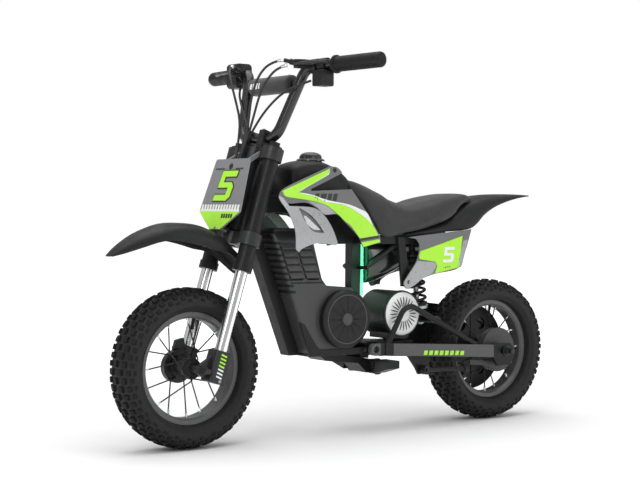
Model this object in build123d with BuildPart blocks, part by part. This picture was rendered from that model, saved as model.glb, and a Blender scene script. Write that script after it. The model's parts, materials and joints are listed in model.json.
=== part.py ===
from build123d import *

import os
from math import acos, atan2, cos, degrees, hypot, pi, radians, sin

# A child's electric ride-on dirt bike. Millimetres, +X forward, +Y the rider's left, +Z up.
# The origin is on the ground, midway between the rear tyre and the tip of the front mudguard.

# ---------------------------------------------------------------- driving dimensions
wheelbase = 805.0
wheel_radius = 160.0
tyre_half_width = 42.0
tread_half_width = 16.0  # the flat middle of the tread, which the bike stands on
rear_axle_x = -412.0
front_axle_x = rear_axle_x + wheelbase

rake = 17.0  # steering axis, degrees back from the vertical
fork_lead = 30.0  # the front axle sits this far ahead of the steering axis
leg_y = 62.0  # each fork leg's distance from the centre plane
stanchion_r = 12.5
leg_r = 17.0
running_gap = 0.06  # radial clearance of a part that turns or slides in another

bar_r = 11.1
grip_r = 15.5

swing_pivot = (-43.0, 180.0)  # x and z of the swingarm's pivot
arm_outer_y = 75.0
arm_inner_y = 60.0
motor_centre = (-125.0, 252.0)
motor_r = 49.0
chain_y = -52.0
chain_pitch = 8.0
rear_teeth = 54
motor_teeth = 14
shock_top = (-190.0, 405.0)
shock_foot = (-212.0, 236.0)

os.makedirs("parts", exist_ok=True)


def save(builder, name):
    """Label one finished piece and write it as its own file."""
    builder.part.label = name
    export_step(builder.part, f"parts/{name}.step")


# ---------------------------------------------------------------- working planes
tilt_c = cos(radians(rake))
tilt_s = sin(radians(rake))
forward = Vector(tilt_c, 0, tilt_s)  # across the steering axis, towards the front
upward = Vector(-tilt_s, 0, tilt_c)  # up along the steering axis
steer_foot = Vector(front_axle_x, 0, wheel_radius) - forward * fork_lead


def side(y):
    """Plane seen from the bike's right: local x is forward, local y is up; it extrudes towards -Y."""
    return Plane(origin=(0, y, 0), x_dir=(1, 0, 0), z_dir=(0, -1, 0))


def steer_side(y):
    """As side(), tilted with the steering: local x is ahead of the steering axis, local y up it."""
    return Plane(origin=steer_foot + Vector(0, y, 0), x_dir=forward, z_dir=(0, -1, 0))


def across_steer(height, y=0.0, ahead=0.0):
    """Plane square to the steering axis, at a height along it; it extrudes up the axis."""
    at = steer_foot + upward * height + forward * ahead + Vector(0, y, 0)
    return Plane(origin=at, x_dir=forward, z_dir=upward)


def facing_forward(ahead):
    """Plane parallel to the fork, seen from behind: local x is left, local y is up the fork."""
    return Plane(origin=steer_foot + forward * ahead, x_dir=(0, 1, 0), z_dir=forward)


def wheel_section(x, z=wheel_radius):
    """Plane through an axle: local x is the distance to the left, local y is the radius."""
    return Plane(origin=(x, 0, z), x_dir=(0, 1, 0), z_dir=(1, 0, 0))


def axle_line(x, z=wheel_radius):
    return Axis((x, 0, z), (0, 1, 0))


def rod(start, end, radius, bore=0.0):
    """A straight round bar or tube between two points."""
    run = Vector(*end) - Vector(*start)
    with BuildPart() as bar:
        with BuildSketch(Plane(origin=start, z_dir=run)):
            Circle(radius)
            if bore:
                Circle(bore, mode=Mode.SUBTRACT)
        extrude(amount=run.length)
    return bar.part


def bent_tube(points, bends, radius, bore=0.0):
    """A round tube along straight runs joined by tangent arcs."""
    with BuildPart() as tube:
        with BuildLine() as route:
            FilletPolyline(*points, radius=bends)
        with BuildSketch(Plane(origin=route.line @ 0, z_dir=route.line % 0)):
            Circle(radius)
            if bore:
                Circle(bore, mode=Mode.SUBTRACT)
        sweep()
    return tube.part


def block(low, high):
    """A rectangular block between two opposite corners."""
    with BuildPart() as brick:
        with Locations(((low[0] + high[0]) / 2, (low[1] + high[1]) / 2, (low[2] + high[2]) / 2)):
            Box(high[0] - low[0], high[1] - low[1], high[2] - low[2])
    return brick.part


# ---------------------------------------------------------------- wheels
rim_half_width = 19.0
rim_lip_r = 111.4
rim_bed_r = 99.0
flange_r = 21.4
flange_y = 22.0
spoke_r = 1.2
spoke_circle_r = 23.4
spokes_per_side = 8


def tyre_at(x):
    """A knobbly tyre's carcass: open at the bead, hollow for its tube."""
    with BuildPart() as tyre:
        with BuildSketch(wheel_section(x)):
            with BuildLine():
                Line((0, wheel_radius), (tread_half_width, wheel_radius))
                ThreePointArc((tread_half_width, wheel_radius), (28.5, 157), (38, 150))
                ThreePointArc((38, 150), (tyre_half_width, 131), (20, 112.8))
                Polyline((20, 112.8), (16.2, 111.8), (16.2, 106.4), (11.5, 106.4))
                Polyline((11.5, 106.4), (12.5, 114), (21, 120), (34, 128), (35, 138), (31, 144))
                ThreePointArc((31, 144), (16, 150.4), (0, 152.5))
                mirror(about=Plane.YZ)
            make_face()
        revolve(axis=axle_line(x))
    return tyre


def rim_at(x):
    """A drop-centre rim: two lips, two bead seats and a bed."""
    with BuildPart() as rim:
        with BuildSketch(wheel_section(x)):
            with BuildLine():
                Polyline(
                    (0, rim_bed_r), (14, rim_bed_r), (rim_half_width, 103), (rim_half_width, rim_lip_r),
                    (16.6, rim_lip_r), (16.6, 105.8), (12, 102), (0, 102),
                )
                mirror(about=Plane.YZ)
            make_face()
        revolve(axis=axle_line(x))
    return rim


def spokes_at(x):
    """Sixteen spokes, each crossing one other: eight from each flange, alternately inside and outside it."""
    reach = 45.0  # a spoke runs this many degrees round the wheel
    with BuildPart() as spokes:
        for side_sign in (1, -1):
            for index in range(spokes_per_side):
                turn = 1 if index % 2 == 0 else -1
                hub_angle = radians(45.0 * index + (0 if side_sign > 0 else 22.5))
                rim_angle = hub_angle + radians(reach) * turn
                hub_point = (
                    x + spoke_circle_r * cos(hub_angle),
                    side_sign * (flange_y + 2.7 * turn),
                    wheel_radius + spoke_circle_r * sin(hub_angle),
                )
                rim_point = (
                    x + (rim_bed_r - 0.6) * cos(rim_angle),
                    side_sign * 4.0,
                    wheel_radius + (rim_bed_r - 0.6) * sin(rim_angle),
                )
                add(rod(hub_point, rim_point, spoke_r))
    return spokes


def turned(x, profile, z=wheel_radius):
    """A round part turned about an axle: the profile is a list of (y, radius)."""
    with BuildPart() as piece:
        with BuildSketch(wheel_section(x, z)):
            with BuildLine():
                Polyline(*profile, close=True)
            make_face()
        revolve(axis=axle_line(x, z))
    return piece


front_axle_r = 5.0
rear_axle_r = 6.0
front_bore = front_axle_r + running_gap
rear_bore = rear_axle_r + running_gap

front_tyre = tyre_at(front_axle_x)
save(front_tyre, "front_tyre")
rear_tyre = tyre_at(rear_axle_x)
save(rear_tyre, "rear_tyre")
front_rim = rim_at(front_axle_x)
save(front_rim, "front_rim")
rear_rim = rim_at(rear_axle_x)
save(rear_rim, "rear_rim")
front_spokes = spokes_at(front_axle_x)
save(front_spokes, "front_spokes")
rear_spokes = spokes_at(rear_axle_x)
save(rear_spokes, "rear_spokes")

# The front hub carries a small brake drum on its right side, open for the back plate.
front_hub = turned(
    front_axle_x,
    [
        (28, front_bore), (28, 14), (24, 16), (23.2, 16), (23.2, flange_r), (20.8, flange_r),
        (20.8, 15), (-20.8, 15), (-20.8, flange_r), (-23.2, flange_r), (-23.2, 16), (-27, 16),
        (-27, 33), (-41, 33), (-41, 29), (-30, 29), (-30, 14), (-41, 14), (-41, front_bore),
    ],
)
save(front_hub, "front_hub")

# The rear hub has its brake drum on the left and the sprocket seat on the right.
rear_hub = turned(
    rear_axle_x,
    [
        (44, rear_bore), (44, 14), (31, 14), (31, 43), (44, 43), (44, 48), (27, 48), (27, 17),
        (23.2, 17), (23.2, flange_r), (20.8, flange_r), (20.8, 17), (-20.8, 17), (-20.8, flange_r),
        (-23.2, flange_r), (-23.2, 20), (-57, 20), (-57, rear_bore),
    ],
)
save(rear_hub, "rear_hub")

# ---------------------------------------------------------------- chain drive
rear_pitch_r = chain_pitch / (2 * sin(pi / rear_teeth))
motor_pitch_r = chain_pitch / (2 * sin(pi / motor_teeth))
chain_half_height = 3.5
tooth_gap = 0.4  # between a tooth's tip and the chain's inner edge
chain_half_width = 3.0
rear_axle = (rear_axle_x, wheel_radius)


def belt_outline(first, first_r, second, second_r):
    """Closed outline of a belt round two circles, drawn in the active line builder."""
    run = (second[0] - first[0], second[1] - first[1])
    heading = degrees(atan2(run[1], run[0]))
    spread = degrees(acos((first_r - second_r) / hypot(*run)))
    ends = []
    for angle in (heading + spread, heading - spread):
        direction = (cos(radians(angle)), sin(radians(angle)))
        start = (first[0] + first_r * direction[0], first[1] + first_r * direction[1])
        end = (second[0] + second_r * direction[0], second[1] + second_r * direction[1])
        ends.append((start, end))
    with BuildLine() as outline:
        Line(ends[0][0], ends[0][1])
        CenterArc(second, second_r, heading + spread, -2 * spread)
        Line(ends[1][1], ends[1][0])
        CenterArc(first, first_r, heading - spread, -(360 - 2 * spread))
    return outline.line


def sprocket(centre, pitch_r, teeth, bore):
    """A thin toothed wheel: its teeth stop just inside the chain's plates."""
    tip_r = pitch_r - chain_half_height - tooth_gap
    root_r = tip_r - 3.0
    with BuildPart() as wheel:
        with BuildSketch(side(chain_y + 1.2)):
            with Locations(centre):
                Circle(root_r)
                with PolarLocations(root_r, teeth):
                    Rectangle(6.0, chain_pitch * 0.42)
            with Locations(centre):
                Circle(bore, mode=Mode.SUBTRACT)
        extrude(amount=2.4)
    return wheel


chain_plane_left = chain_y + chain_half_width
with BuildPart() as drive_chain:
    with BuildSketch(side(chain_plane_left)):
        outer_r = (rear_pitch_r + chain_half_height, motor_pitch_r + chain_half_height)
        inner_r = (rear_pitch_r - chain_half_height, motor_pitch_r - chain_half_height)
        add(belt_outline(rear_axle, outer_r[0], motor_centre, outer_r[1]))
        make_face()
        with BuildSketch(mode=Mode.SUBTRACT):
            add(belt_outline(rear_axle, inner_r[0], motor_centre, inner_r[1]))
            make_face()
    extrude(amount=2 * chain_half_width)
save(drive_chain, "drive_chain")

# The rear sprocket and, inboard of it, the disc that keeps the chain off the spokes.
guard_disc_r = 98.0
rear_wheel_sprocket = sprocket(rear_axle, rear_pitch_r, rear_teeth, 20.1)
with BuildPart() as rear_sprocket:
    add(rear_wheel_sprocket.part)
    with BuildSketch(side(-44.6)):
        with Locations(rear_axle):
            Circle(guard_disc_r)
            Circle(20.1, mode=Mode.SUBTRACT)
            with PolarLocations(60, 6):
                Circle(14, mode=Mode.SUBTRACT)
    extrude(amount=2.0)
save(rear_sprocket, "rear_sprocket")

motor_shaft_r = 5.0
small_sprocket = sprocket(motor_centre, motor_pitch_r, motor_teeth, motor_shaft_r - 1)
with BuildPart() as motor_sprocket:
    add(small_sprocket.part)
    add(rod((motor_centre[0], -26, motor_centre[1]), (motor_centre[0], -57, motor_centre[1]), motor_shaft_r))
save(motor_sprocket, "motor_sprocket")

with BuildPart() as motor:
    with BuildSketch(side(44)):
        with Locations(motor_centre):
            Circle(motor_r)
    extrude(amount=86)
    with BuildSketch(side(48)):
        with Locations(motor_centre):
            Circle(motor_r - 1.5)
    extrude(amount=4)
    add(block((motor_centre[0] - 30, -32, 197.5), (motor_centre[0] + 26, 32, 212)))
    with BuildSketch(side(-24)):
        with Locations(motor_centre):
            Circle(motor_shaft_r + running_gap)
    extrude(amount=30, mode=Mode.SUBTRACT)
save(motor, "motor")

# ---------------------------------------------------------------- swingarm
truss_y = 67.5
truss_r = 6.0
cross_tube_r = 8.0
ear_inner_y = 26.0
ear_outer_y = 37.0
yoke_front_x = -58.0
yoke_rear_x = -88.0
arm_rear_x = -378.0
pivot_bolt_r = 6.0
stand_pivot = Vector(-168, 75.2, 130)
stand_splay = 12.0  # the side stand's pivot is turned this far, so the stand leans out when down
stand_axis = Vector(-sin(radians(stand_splay)), cos(radians(stand_splay)), 0)

arm_outline = [(yoke_front_x, 193), (arm_rear_x, 175), (arm_rear_x, 146), (yoke_front_x, 166)]
truss_run = [(-68, 188), (-120, 277), (-322, 178)]

with BuildPart() as swingarm:
    # Two long box arms, one each side of the tyre.
    with BuildSketch(side(arm_outer_y)):
        Polygon(*arm_outline, align=None)
    extrude(amount=arm_outer_y - arm_inner_y)
    # A curved truss tube above each arm.
    with BuildLine() as truss:
        FilletPolyline(*[(x, truss_y, z) for x, z in truss_run], radius=30)
    with BuildSketch(Plane(origin=truss.line @ 0, z_dir=truss.line % 0)):
        Circle(truss_r)
    sweep()
    # Plates that hold the rear axle in a slot.
    with BuildSketch(side(arm_outer_y - 1)):
        Polygon((-372, 176), (-424, 176), (-434, 168), (-434, 142), (-424, 127), (-386, 127), (-372, 146), align=None)
        with Locations((rear_axle_x, wheel_radius)):
            SlotOverall(34, 2 * (rear_axle_r + 0.1), mode=Mode.SUBTRACT)
    extrude(amount=8)
    # Ears on the pivot bolt.
    with BuildSketch(side(ear_outer_y)):
        with Locations(swing_pivot):
            Circle(14.5)
        Polygon((-43, 194.5), (-62, 193), (-62, 166), (-43, 165.5), align=None)
    extrude(amount=ear_outer_y - ear_inner_y)
    mirror(about=Plane.XZ)
    # The yoke that joins the arms behind the pivot, and the motor's tray.
    with BuildSketch(side(arm_outer_y)):
        Polygon((yoke_front_x, 193), (yoke_rear_x, 191.3), (yoke_rear_x, 164), (yoke_front_x, 166), align=None)
    extrude(amount=2 * arm_outer_y)
    add(block((-168, -34, 187), (yoke_rear_x + 4, 34, 192)))
    # The tube between the trusses that carries the shock absorber's foot.
    add(rod((shock_foot[0], truss_y, shock_foot[1]), (shock_foot[0], -truss_y, shock_foot[1]), cross_tube_r))
    # Bracket of the side stand, under the left arm.
    with BuildSketch(side(66)):
        Polygon((-124, 166), (-190, 160), (-184, 122), (-158, 120), (-150, 134), align=None)
    extrude(amount=6)
    add(rod(stand_pivot - stand_axis * 14, stand_pivot + stand_axis * 9, 4.0))
    # Bore for the pivot bolt.
    with BuildSketch(side(ear_outer_y + 1)):
        with Locations(swing_pivot):
            Circle(pivot_bolt_r + running_gap)
    extrude(amount=2 * ear_outer_y + 2, mode=Mode.SUBTRACT)
save(swingarm, "swingarm")

with BuildPart() as rear_axle_bolt:
    add(rod((rear_axle_x, -96, wheel_radius), (rear_axle_x, 96, wheel_radius), rear_axle_r))
    for sign in (1, -1):
        add(rod((rear_axle_x, sign * 74.3, wheel_radius), (rear_axle_x, sign * 77, wheel_radius), 12))
        with BuildSketch(side(sign * 79.5 + 4)):
            with Locations(rear_axle):
                RegularPolygon(9.5, 6)
        extrude(amount=8)
    add(rod((rear_axle_x, 48.6, wheel_radius), (rear_axle_x, 65.8, wheel_radius), 9.5))
    add(rod((rear_axle_x, -57.4, wheel_radius), (rear_axle_x, -65.8, wheel_radius), 9.5))
save(rear_axle_bolt, "rear_axle")

with BuildPart() as rear_brake_plate:
    with BuildSketch(side(47.4)):
        with Locations(rear_axle):
            Circle(50)
    extrude(amount=3)
    with BuildSketch(side(48.4)):
        with Locations(rear_axle):
            Circle(30)
    extrude(amount=3)
    # Torque arm, forward under the left arm.
    with BuildSketch(side(51.4)):
        Polygon((-322, 142), (-322, 131), (-368, 127), (-412, 111), (-420, 118), (-384, 136), align=None)
    extrude(amount=4)
    with BuildSketch(side(60)):
        with Locations(rear_axle):
            Circle(rear_axle_r + 0.1)
    extrude(amount=20, mode=Mode.SUBTRACT)
save(rear_brake_plate, "rear_brake_plate")

with BuildPart() as chain_guard:
    guard_r = (90.0, 32.0)
    with BuildSketch(side(-47.0)):
        add(belt_outline(rear_axle, guard_r[0], motor_centre, guard_r[1]))
        make_face()
    extrude(amount=12.2)
    with BuildSketch(side(-47.0)):
        add(belt_outline(rear_axle, guard_r[0] - 2.2, motor_centre, guard_r[1] - 2.2))
        make_face()
    extrude(amount=10.0, mode=Mode.SUBTRACT)
    with BuildSketch(side(-40.0)):
        with Locations(rear_axle):
            Circle(24)
        with Locations(shock_foot):
            Circle(cross_tube_r + 0.5)
    extrude(amount=25.0, mode=Mode.SUBTRACT)
save(chain_guard, "chain_guard")

# The side stand: an eye on its pivot, a long leg pointing back, and a foot.
with BuildPart() as side_stand:
    eye_start = stand_pivot - stand_axis * 6.5
    add(rod(eye_start, stand_pivot + stand_axis * 6.5, 10))
    add(rod(stand_pivot + Vector(-6, 0, 0), stand_pivot + Vector(-122, 0, -4), 5))
    add(rod(stand_pivot + Vector(-112, 0, -3.7), stand_pivot + Vector(-124, 0, -4.1), 8))
    add(rod(stand_pivot - stand_axis * 20, stand_pivot + stand_axis * 20, 4 + running_gap), mode=Mode.SUBTRACT)
save(side_stand, "side_stand")

# ---------------------------------------------------------------- shock absorber
shock_run = Vector(shock_top[0] - shock_foot[0], 0, shock_top[1] - shock_foot[1])
shock_dir = shock_run.normalized()
shock_length = shock_run.length
shock_base = Vector(shock_foot[0], 0, shock_foot[1])
spring_r = 20.0
spring_wire_r = 3.2
spring_low = 29.3
spring_high = 139.7
foot_gap = 0.5  # the open pivot's clearance on the cross tube


def on_shock(height):
    """Point on the shock absorber's centre line, at a distance above its foot."""
    return shock_base + shock_dir * height


with BuildPart() as shock_shaft:
    add(rod(on_shock(10), on_shock(95), 6.0))
    add(rod(on_shock(23), on_shock(29), 24))
    add(rod((shock_foot[0], -9, shock_foot[1]), (shock_foot[0], 9, shock_foot[1]), 13))
    add(rod((shock_foot[0], -10, shock_foot[1]), (shock_foot[0], 10, shock_foot[1]), cross_tube_r + foot_gap), mode=Mode.SUBTRACT)
save(shock_shaft, "shock_shaft")

with BuildPart() as shock_body:
    add(rod(on_shock(76), on_shock(150), 15))
    add(rod(on_shock(149), on_shock(163), 8))
    add(rod(on_shock(140), on_shock(146), 24))
    add(rod(on_shock(75), on_shock(124), 6.0 + running_gap), mode=Mode.SUBTRACT)
    add(rod((shock_top[0], -9, shock_top[1]), (shock_top[0], 9, shock_top[1]), 8.5))
    add(rod((shock_top[0], -10, shock_top[1]), (shock_top[0], 10, shock_top[1]), 5.0 + running_gap), mode=Mode.SUBTRACT)
save(shock_body, "shock_body")

spring_turns = 6
spring_rise = spring_high - spring_low - 2 * spring_wire_r
with BuildPart() as shock_spring:
    with BuildLine() as coil:
        Helix(
            pitch=spring_rise / spring_turns, height=spring_rise, radius=spring_r,
            center=on_shock(spring_low + spring_wire_r), direction=shock_dir,
        )
    with BuildSketch(Plane(origin=coil.line @ 0, z_dir=coil.line % 0)):
        Circle(spring_wire_r)
    sweep(is_frenet=True)
save(shock_spring, "shock_spring")

# ---------------------------------------------------------------- frame
head_low = 292.0  # the head tube's ends, measured up the steering axis
head_high = 436.0
head_r = 23.0
steerer_r = 14.0
tube_half_width = 15.0
rail_inner_y = 28.0
rail_outer_y = 46.0


def down_tube_front(z):
    """The down tube's front face: it leans forward as it rises."""
    return 249.0 + 0.4 * (z - 415.0)


with BuildPart() as head_tube:
    with BuildSketch(across_steer(head_low)):
        Circle(head_r)
    extrude(amount=head_high - head_low)
    with BuildSketch(side(tube_half_width)):
        Polygon(
            (down_tube_front(172.5), 172.5), (down_tube_front(430), 430), (252, 470),
            (down_tube_front(450) - 26, 450), (down_tube_front(172.5) - 26, 172.5), align=None,
        )
    extrude(amount=2 * tube_half_width)
    with BuildSketch(across_steer(head_low - 5)):
        Circle(steerer_r + running_gap)
    extrude(amount=head_high - head_low + 10, mode=Mode.SUBTRACT)
save(head_tube, "head_tube")

with BuildPart() as backbone:
    # Deep box spine from the head tube to the centre post.
    with BuildSketch(side(20)):
        Polygon(
            (250, 503), (244, 470), (150, 468), (88, 442), (52, 403), (-37, 403),
            (-37, 424), (-8, 440), (60, 501), align=None,
        )
    extrude(amount=40)
    add(head_tube.part, mode=Mode.SUBTRACT)
    with BuildSketch(across_steer(head_low - 5)):
        Circle(head_r)
    extrude(amount=head_high - head_low + 10, mode=Mode.SUBTRACT)
    # Seat rails.
    with BuildSketch(side(rail_outer_y)):
        Polygon((-12, 403), (-12, 419), (-165, 419), (-315, 429), (-315, 413), (-165, 403), align=None)
    extrude(amount=rail_outer_y - rail_inner_y)
    # Straps that hold the side panels' lower ends.
    with BuildSketch(side(rail_outer_y + 6)):
        Polygon((-108, 418), (-126, 418), (-142, 330), (-138, 311), (-120, 311), (-118, 330), align=None)
    extrude(amount=6)
    # Diagonal stays from the centre post to the rails.
    add(rod((-31, 37, 352), (-128, 37, 410), 5.5))
    mirror(about=Plane.XZ)
    # Cross members: at the front of the rails, and over the shock absorber.
    add(block((-37, -30, 403), (-14, 30, 418)))
    add(block((-206, -30, 414), (-174, 30, 419)))
    for sign in (1, -1):
        low_y, high_y = sorted((sign * 10, sign * 15))
        add(block((shock_top[0] - 9, low_y, 394), (shock_top[0] + 9, high_y, 416)))
    add(rod((shock_top[0], -17, shock_top[1]), (shock_top[0], 17, shock_top[1]), 5.0))
save(backbone, "backbone")

peg_pivot = (-60.0, 44.0)
peg_turn_r = 9.0
with BuildPart() as cradle:
    # Skid channel under the battery, ending in the foot-rest carriers.
    with BuildSketch(side(28)):
        Polygon(
            (down_tube_front(172), 172), (112, 150), (-18, 139), (-46, 126), (-74, 126),
            (-74, 146), (-52, 158), (-28, 166), (-28, 172), align=None,
        )
    extrude(amount=56)
    # The swingarm pivot's boss.
    with BuildSketch(side(ear_inner_y - 0.4)):
        with Locations(swing_pivot):
            Circle(14)
    extrude(amount=2 * ear_inner_y - 0.8)
    with BuildSketch(side(ear_inner_y - 0.4)):
        Polygon((-53, 178), (-50, 158), (-28, 164), (-28, 180), align=None)
    extrude(amount=2 * ear_inner_y - 0.8)
    with BuildSketch(side(ear_inner_y)):
        with Locations(swing_pivot):
            Circle(pivot_bolt_r + running_gap)
    extrude(amount=2 * ear_inner_y, mode=Mode.SUBTRACT)
    # Tabs above and below each foot rest's tongue, with its upright pin.
    for sign in (1, -1):
        for low_z in (126.0, 152.0):
            with BuildSketch(Plane.XY.offset(low_z)):
                with Locations((peg_pivot[0], sign * peg_pivot[1])):
                    Circle(peg_turn_r)
                with Locations((peg_pivot[0], sign * 35)):
                    Rectangle(2 * peg_turn_r, 18)
            extrude(amount=4)
        with Locations((peg_pivot[0], sign * peg_pivot[1], 141)):
            Cylinder(4, 34)
    # The swingarm's pivot bolt, with its heads outside the ears.
    bolt_end = ear_outer_y + 0.5
    add(rod((swing_pivot[0], -bolt_end, swing_pivot[1]), (swing_pivot[0], bolt_end, swing_pivot[1]), pivot_bolt_r))
    for sign in (1, -1):
        start = (swing_pivot[0], sign * bolt_end, swing_pivot[1])
        add(rod(start, (swing_pivot[0], sign * (bolt_end + 6), swing_pivot[1]), 9.5))
save(cradle, "cradle")

with BuildPart() as centre_post:
    add(block((-37, -11, 172.5), (-13, 11, 402.5)))
    add(rod((-31, -31, 352), (-31, 31, 352), 4.0))
    add(cradle.part, mode=Mode.SUBTRACT)
save(centre_post, "centre_post")


def foot_rest(sign):
    """A folding foot rest: tongue on the upright pin, tapered tread with a toothed top."""
    inner_y, outer_y = 54.5, 100.0
    with BuildPart() as rest:
        with BuildSketch(Plane.XY.offset(130.4)):
            with Locations((peg_pivot[0], sign * peg_pivot[1])):
                Circle(peg_turn_r)
            with Locations((peg_pivot[0], sign * 51)):
                Rectangle(2 * peg_turn_r, 14)
        extrude(amount=21.2)
        with BuildSketch(Plane(origin=(peg_pivot[0] - 15, 0, 0), x_dir=(0, sign, 0), z_dir=(sign, 0, 0))):
            Polygon((inner_y, 128), (outer_y, 141), (outer_y, 157), (inner_y, 157), align=None)
        extrude(amount=30 * sign)
        for row in range(5):
            tooth_y = sign * (inner_y + 8 + 8 * row)
            add(block((peg_pivot[0] - 16, tooth_y - 2, 154), (peg_pivot[0] + 16, tooth_y + 2, 160)), mode=Mode.SUBTRACT)
        with Locations((peg_pivot[0], sign * peg_pivot[1], 141)):
            Cylinder(4 + running_gap, 40, mode=Mode.SUBTRACT)
    return rest


foot_rest_left = foot_rest(1)
save(foot_rest_left, "foot_rest_left")
foot_rest_right = foot_rest(-1)
save(foot_rest_right, "foot_rest_right")

# ---------------------------------------------------------------- battery, motor controller and their covers
cover_y = 50.0
cover_wall = 3.0
drum_centre = (39.5, 247.0)
drum_r = 61.0


def cover_front(z):
    """The battery cover's front edge, parallel to the down tube."""
    return 208.0 + 0.38 * (z - 396.0)


cover_outline = [
    (cover_front(178), 178), (14, 178), (-6, 200), (-6, 290), (14, 312), (78, 316),
    (92, 332), (121, 430), (cover_front(426), 426),
]

with BuildPart() as battery_cover_left:
    with BuildSketch(side(cover_y)):
        Polygon(*cover_outline, align=None)
    extrude(amount=cover_y - 0.3)
    outer_edges = battery_cover_left.faces().sort_by(Axis.Y)[-1].edges()
    fillet(outer_edges, radius=7)
    with BuildSketch(side(cover_y - cover_wall)):
        with BuildSketch():
            Polygon(*cover_outline, align=None)
            offset(amount=-cover_wall, kind=Kind.INTERSECTION)
    extrude(amount=cover_y, mode=Mode.SUBTRACT)
    # Two columns of five cooling slots.
    slope = degrees(atan2(0.38, 1.0))
    for column_x in (-22.0, -62.0):
        for row in range(5):
            slot_z = 392.0 - 15.0 * row
            with BuildSketch(side(cover_y + 1)):
                with Locations((cover_front(slot_z) + column_x - 4, slot_z)):
                    Rectangle(30, 4)
            extrude(amount=cover_wall + 2, mode=Mode.SUBTRACT)
save(battery_cover_left, "battery_cover_left")

with BuildPart() as battery_cover_right:
    add(mirror(battery_cover_left.part, about=Plane.XZ, mode=Mode.PRIVATE))
save(battery_cover_right, "battery_cover_right")

# Round covers like a clutch case, one each side, with twelve spokes cut in the face.
with BuildPart() as round_covers:
    with BuildSketch(side(cover_y + 0.4)):
        with Locations(drum_centre):
            Circle(drum_r)
    extrude(amount=-17)
    top_edge = round_covers.faces().sort_by(Axis.Y)[-1].edges()
    chamfer(top_edge, length=4)
    with BuildSketch(side(cover_y + 14)):
        with Locations(drum_centre):
            with PolarLocations(31, 12):
                SlotOverall(34, 3.4)
    extrude(amount=-6, mode=Mode.SUBTRACT)
    with BuildSketch(side(cover_y)):
        with Locations(drum_centre):
            Circle(drum_r - 4)
    extrude(amount=-10, mode=Mode.SUBTRACT)
    mirror(about=Plane.XZ)
save(round_covers, "round_covers")

with BuildPart() as battery_pack:
    with BuildSketch(side(34)):
        Polygon((116, 190), (52, 190), (122, 398), (192, 398), align=None)
    extrude(amount=68)
    fillet(battery_pack.edges().filter_by(Axis.Y), radius=4)
save(battery_pack, "battery_pack")

housing_outline = [(-46, 398), (-46, 322), (-100, 330), (-150, 352), (-150, 398)]
with BuildPart() as controller_housing:
    with BuildSketch(side(26)):
        with BuildLine():
            Polyline((-150, 352), (-150, 398), (-46, 398), (-46, 320))
            ThreePointArc((-46, 320), (-94, 329), (-150, 352))
        make_face()
    extrude(amount=52)
    fillet(controller_housing.edges().filter_by(Axis.X), radius=8)
    add(block((-138, -21, 356), (-54, 21, 390)), mode=Mode.SUBTRACT)
save(controller_housing, "controller_housing")

with BuildPart() as controller:
    add(block((-134, -19, 360), (-58, 19, 386)))
    for fin in range(7):
        fin_x = -128 + 10 * fin
        add(block((fin_x, -19, 384), (fin_x + 3, 19, 389)))
save(controller, "controller")

with BuildPart() as light_strips:
    for sign in (1, -1):
        add(rod((-40.5, sign * 12, 292), (-40.5, sign * 12, 402), 3.0))
save(light_strips, "light_strips")

# ---------------------------------------------------------------- tank, shrouds and scoops
tank_half_width = 46.0
tank_bottom = 505.0
cap_centre = (90.0, 0.0)
cap_r = 26.0
tank_top = [(166, tank_bottom), (164, 562), (150, 575), (117, 578.5), (62, 575), (30, 566), (14, 552), (14, tank_bottom)]

with BuildPart() as tank_cover:
    with BuildSketch(side(tank_half_width)):
        Polygon(*tank_top, align=None)
    extrude(amount=2 * tank_half_width)
    long_edges = tank_cover.edges().filter_by(lambda e: e.center().Z > 560 and abs(e.center().Y) > 40)
    fillet(long_edges, radius=14)
    with BuildSketch(side(tank_half_width - 3)):
        Polygon((162, tank_bottom - 1), (160, 556), (148, 560), (32, 555), (18, 546), (18, tank_bottom - 1), align=None)
    extrude(amount=2 * (tank_half_width - 3), mode=Mode.SUBTRACT)
    # Filler neck for the cap.
    with BuildSketch(Plane.XY.offset(570)):
        with Locations(cap_centre):
            Circle(21)
    extrude(amount=12)
    with BuildSketch(Plane.XY.offset(555)):
        with Locations(cap_centre):
            Circle(18)
    extrude(amount=40, mode=Mode.SUBTRACT)
save(tank_cover, "tank_cover")

with BuildPart() as tank_cap:
    with BuildSketch(Plane.XY.offset(582.5)):
        with Locations(cap_centre):
            Circle(cap_r)
            with PolarLocations(cap_r, 12):
                Circle(2.6, mode=Mode.SUBTRACT)
    extrude(amount=13)
    with BuildSketch(Plane.XY.offset(570)):
        with Locations(cap_centre):
            Circle(18 - running_gap)
    extrude(amount=14)
save(tank_cap, "tank_cap")


def curved_sheet(front, middle, rear, thickness, low_z, high_z):
    """An upright sheet whose outer face bows outwards: three plan points (x, y) give that face."""
    with BuildPart() as sheet:
        with BuildSketch(Plane.XY.offset(low_z)):
            with BuildLine():
                ThreePointArc(front, middle, rear)
                Line(rear, (rear[0], rear[1] - thickness))
                inner_middle = (middle[0], middle[1] - thickness)
                ThreePointArc((rear[0], rear[1] - thickness), inner_middle, (front[0], front[1] - thickness))
                Line((front[0], front[1] - thickness), front)
            make_face()
        extrude(amount=high_z - low_z)
    return sheet.part


shroud_sheet = curved_sheet((250, 85.5), (110, 77), (-60, 59), 3.0, 380, 600)
with BuildPart() as shroud_left:
    add(shroud_sheet)
    with BuildSketch(side(200)):
        with BuildLine():
            Polyline((211, 500), (226, 504), (222, 512), (80, 560), (68, 553), (46, 519), (29, 515), (-10, 473), (-49, 411), (7, 399))
            ThreePointArc((7, 399), (101, 474), (211, 500))
        make_face()
    extrude(amount=400, mode=Mode.INTERSECT)
save(shroud_left, "shroud_left")

with BuildPart() as shroud_right:
    add(mirror(shroud_left.part, about=Plane.XZ, mode=Mode.PRIVATE))
save(shroud_right, "shroud_right")

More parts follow.
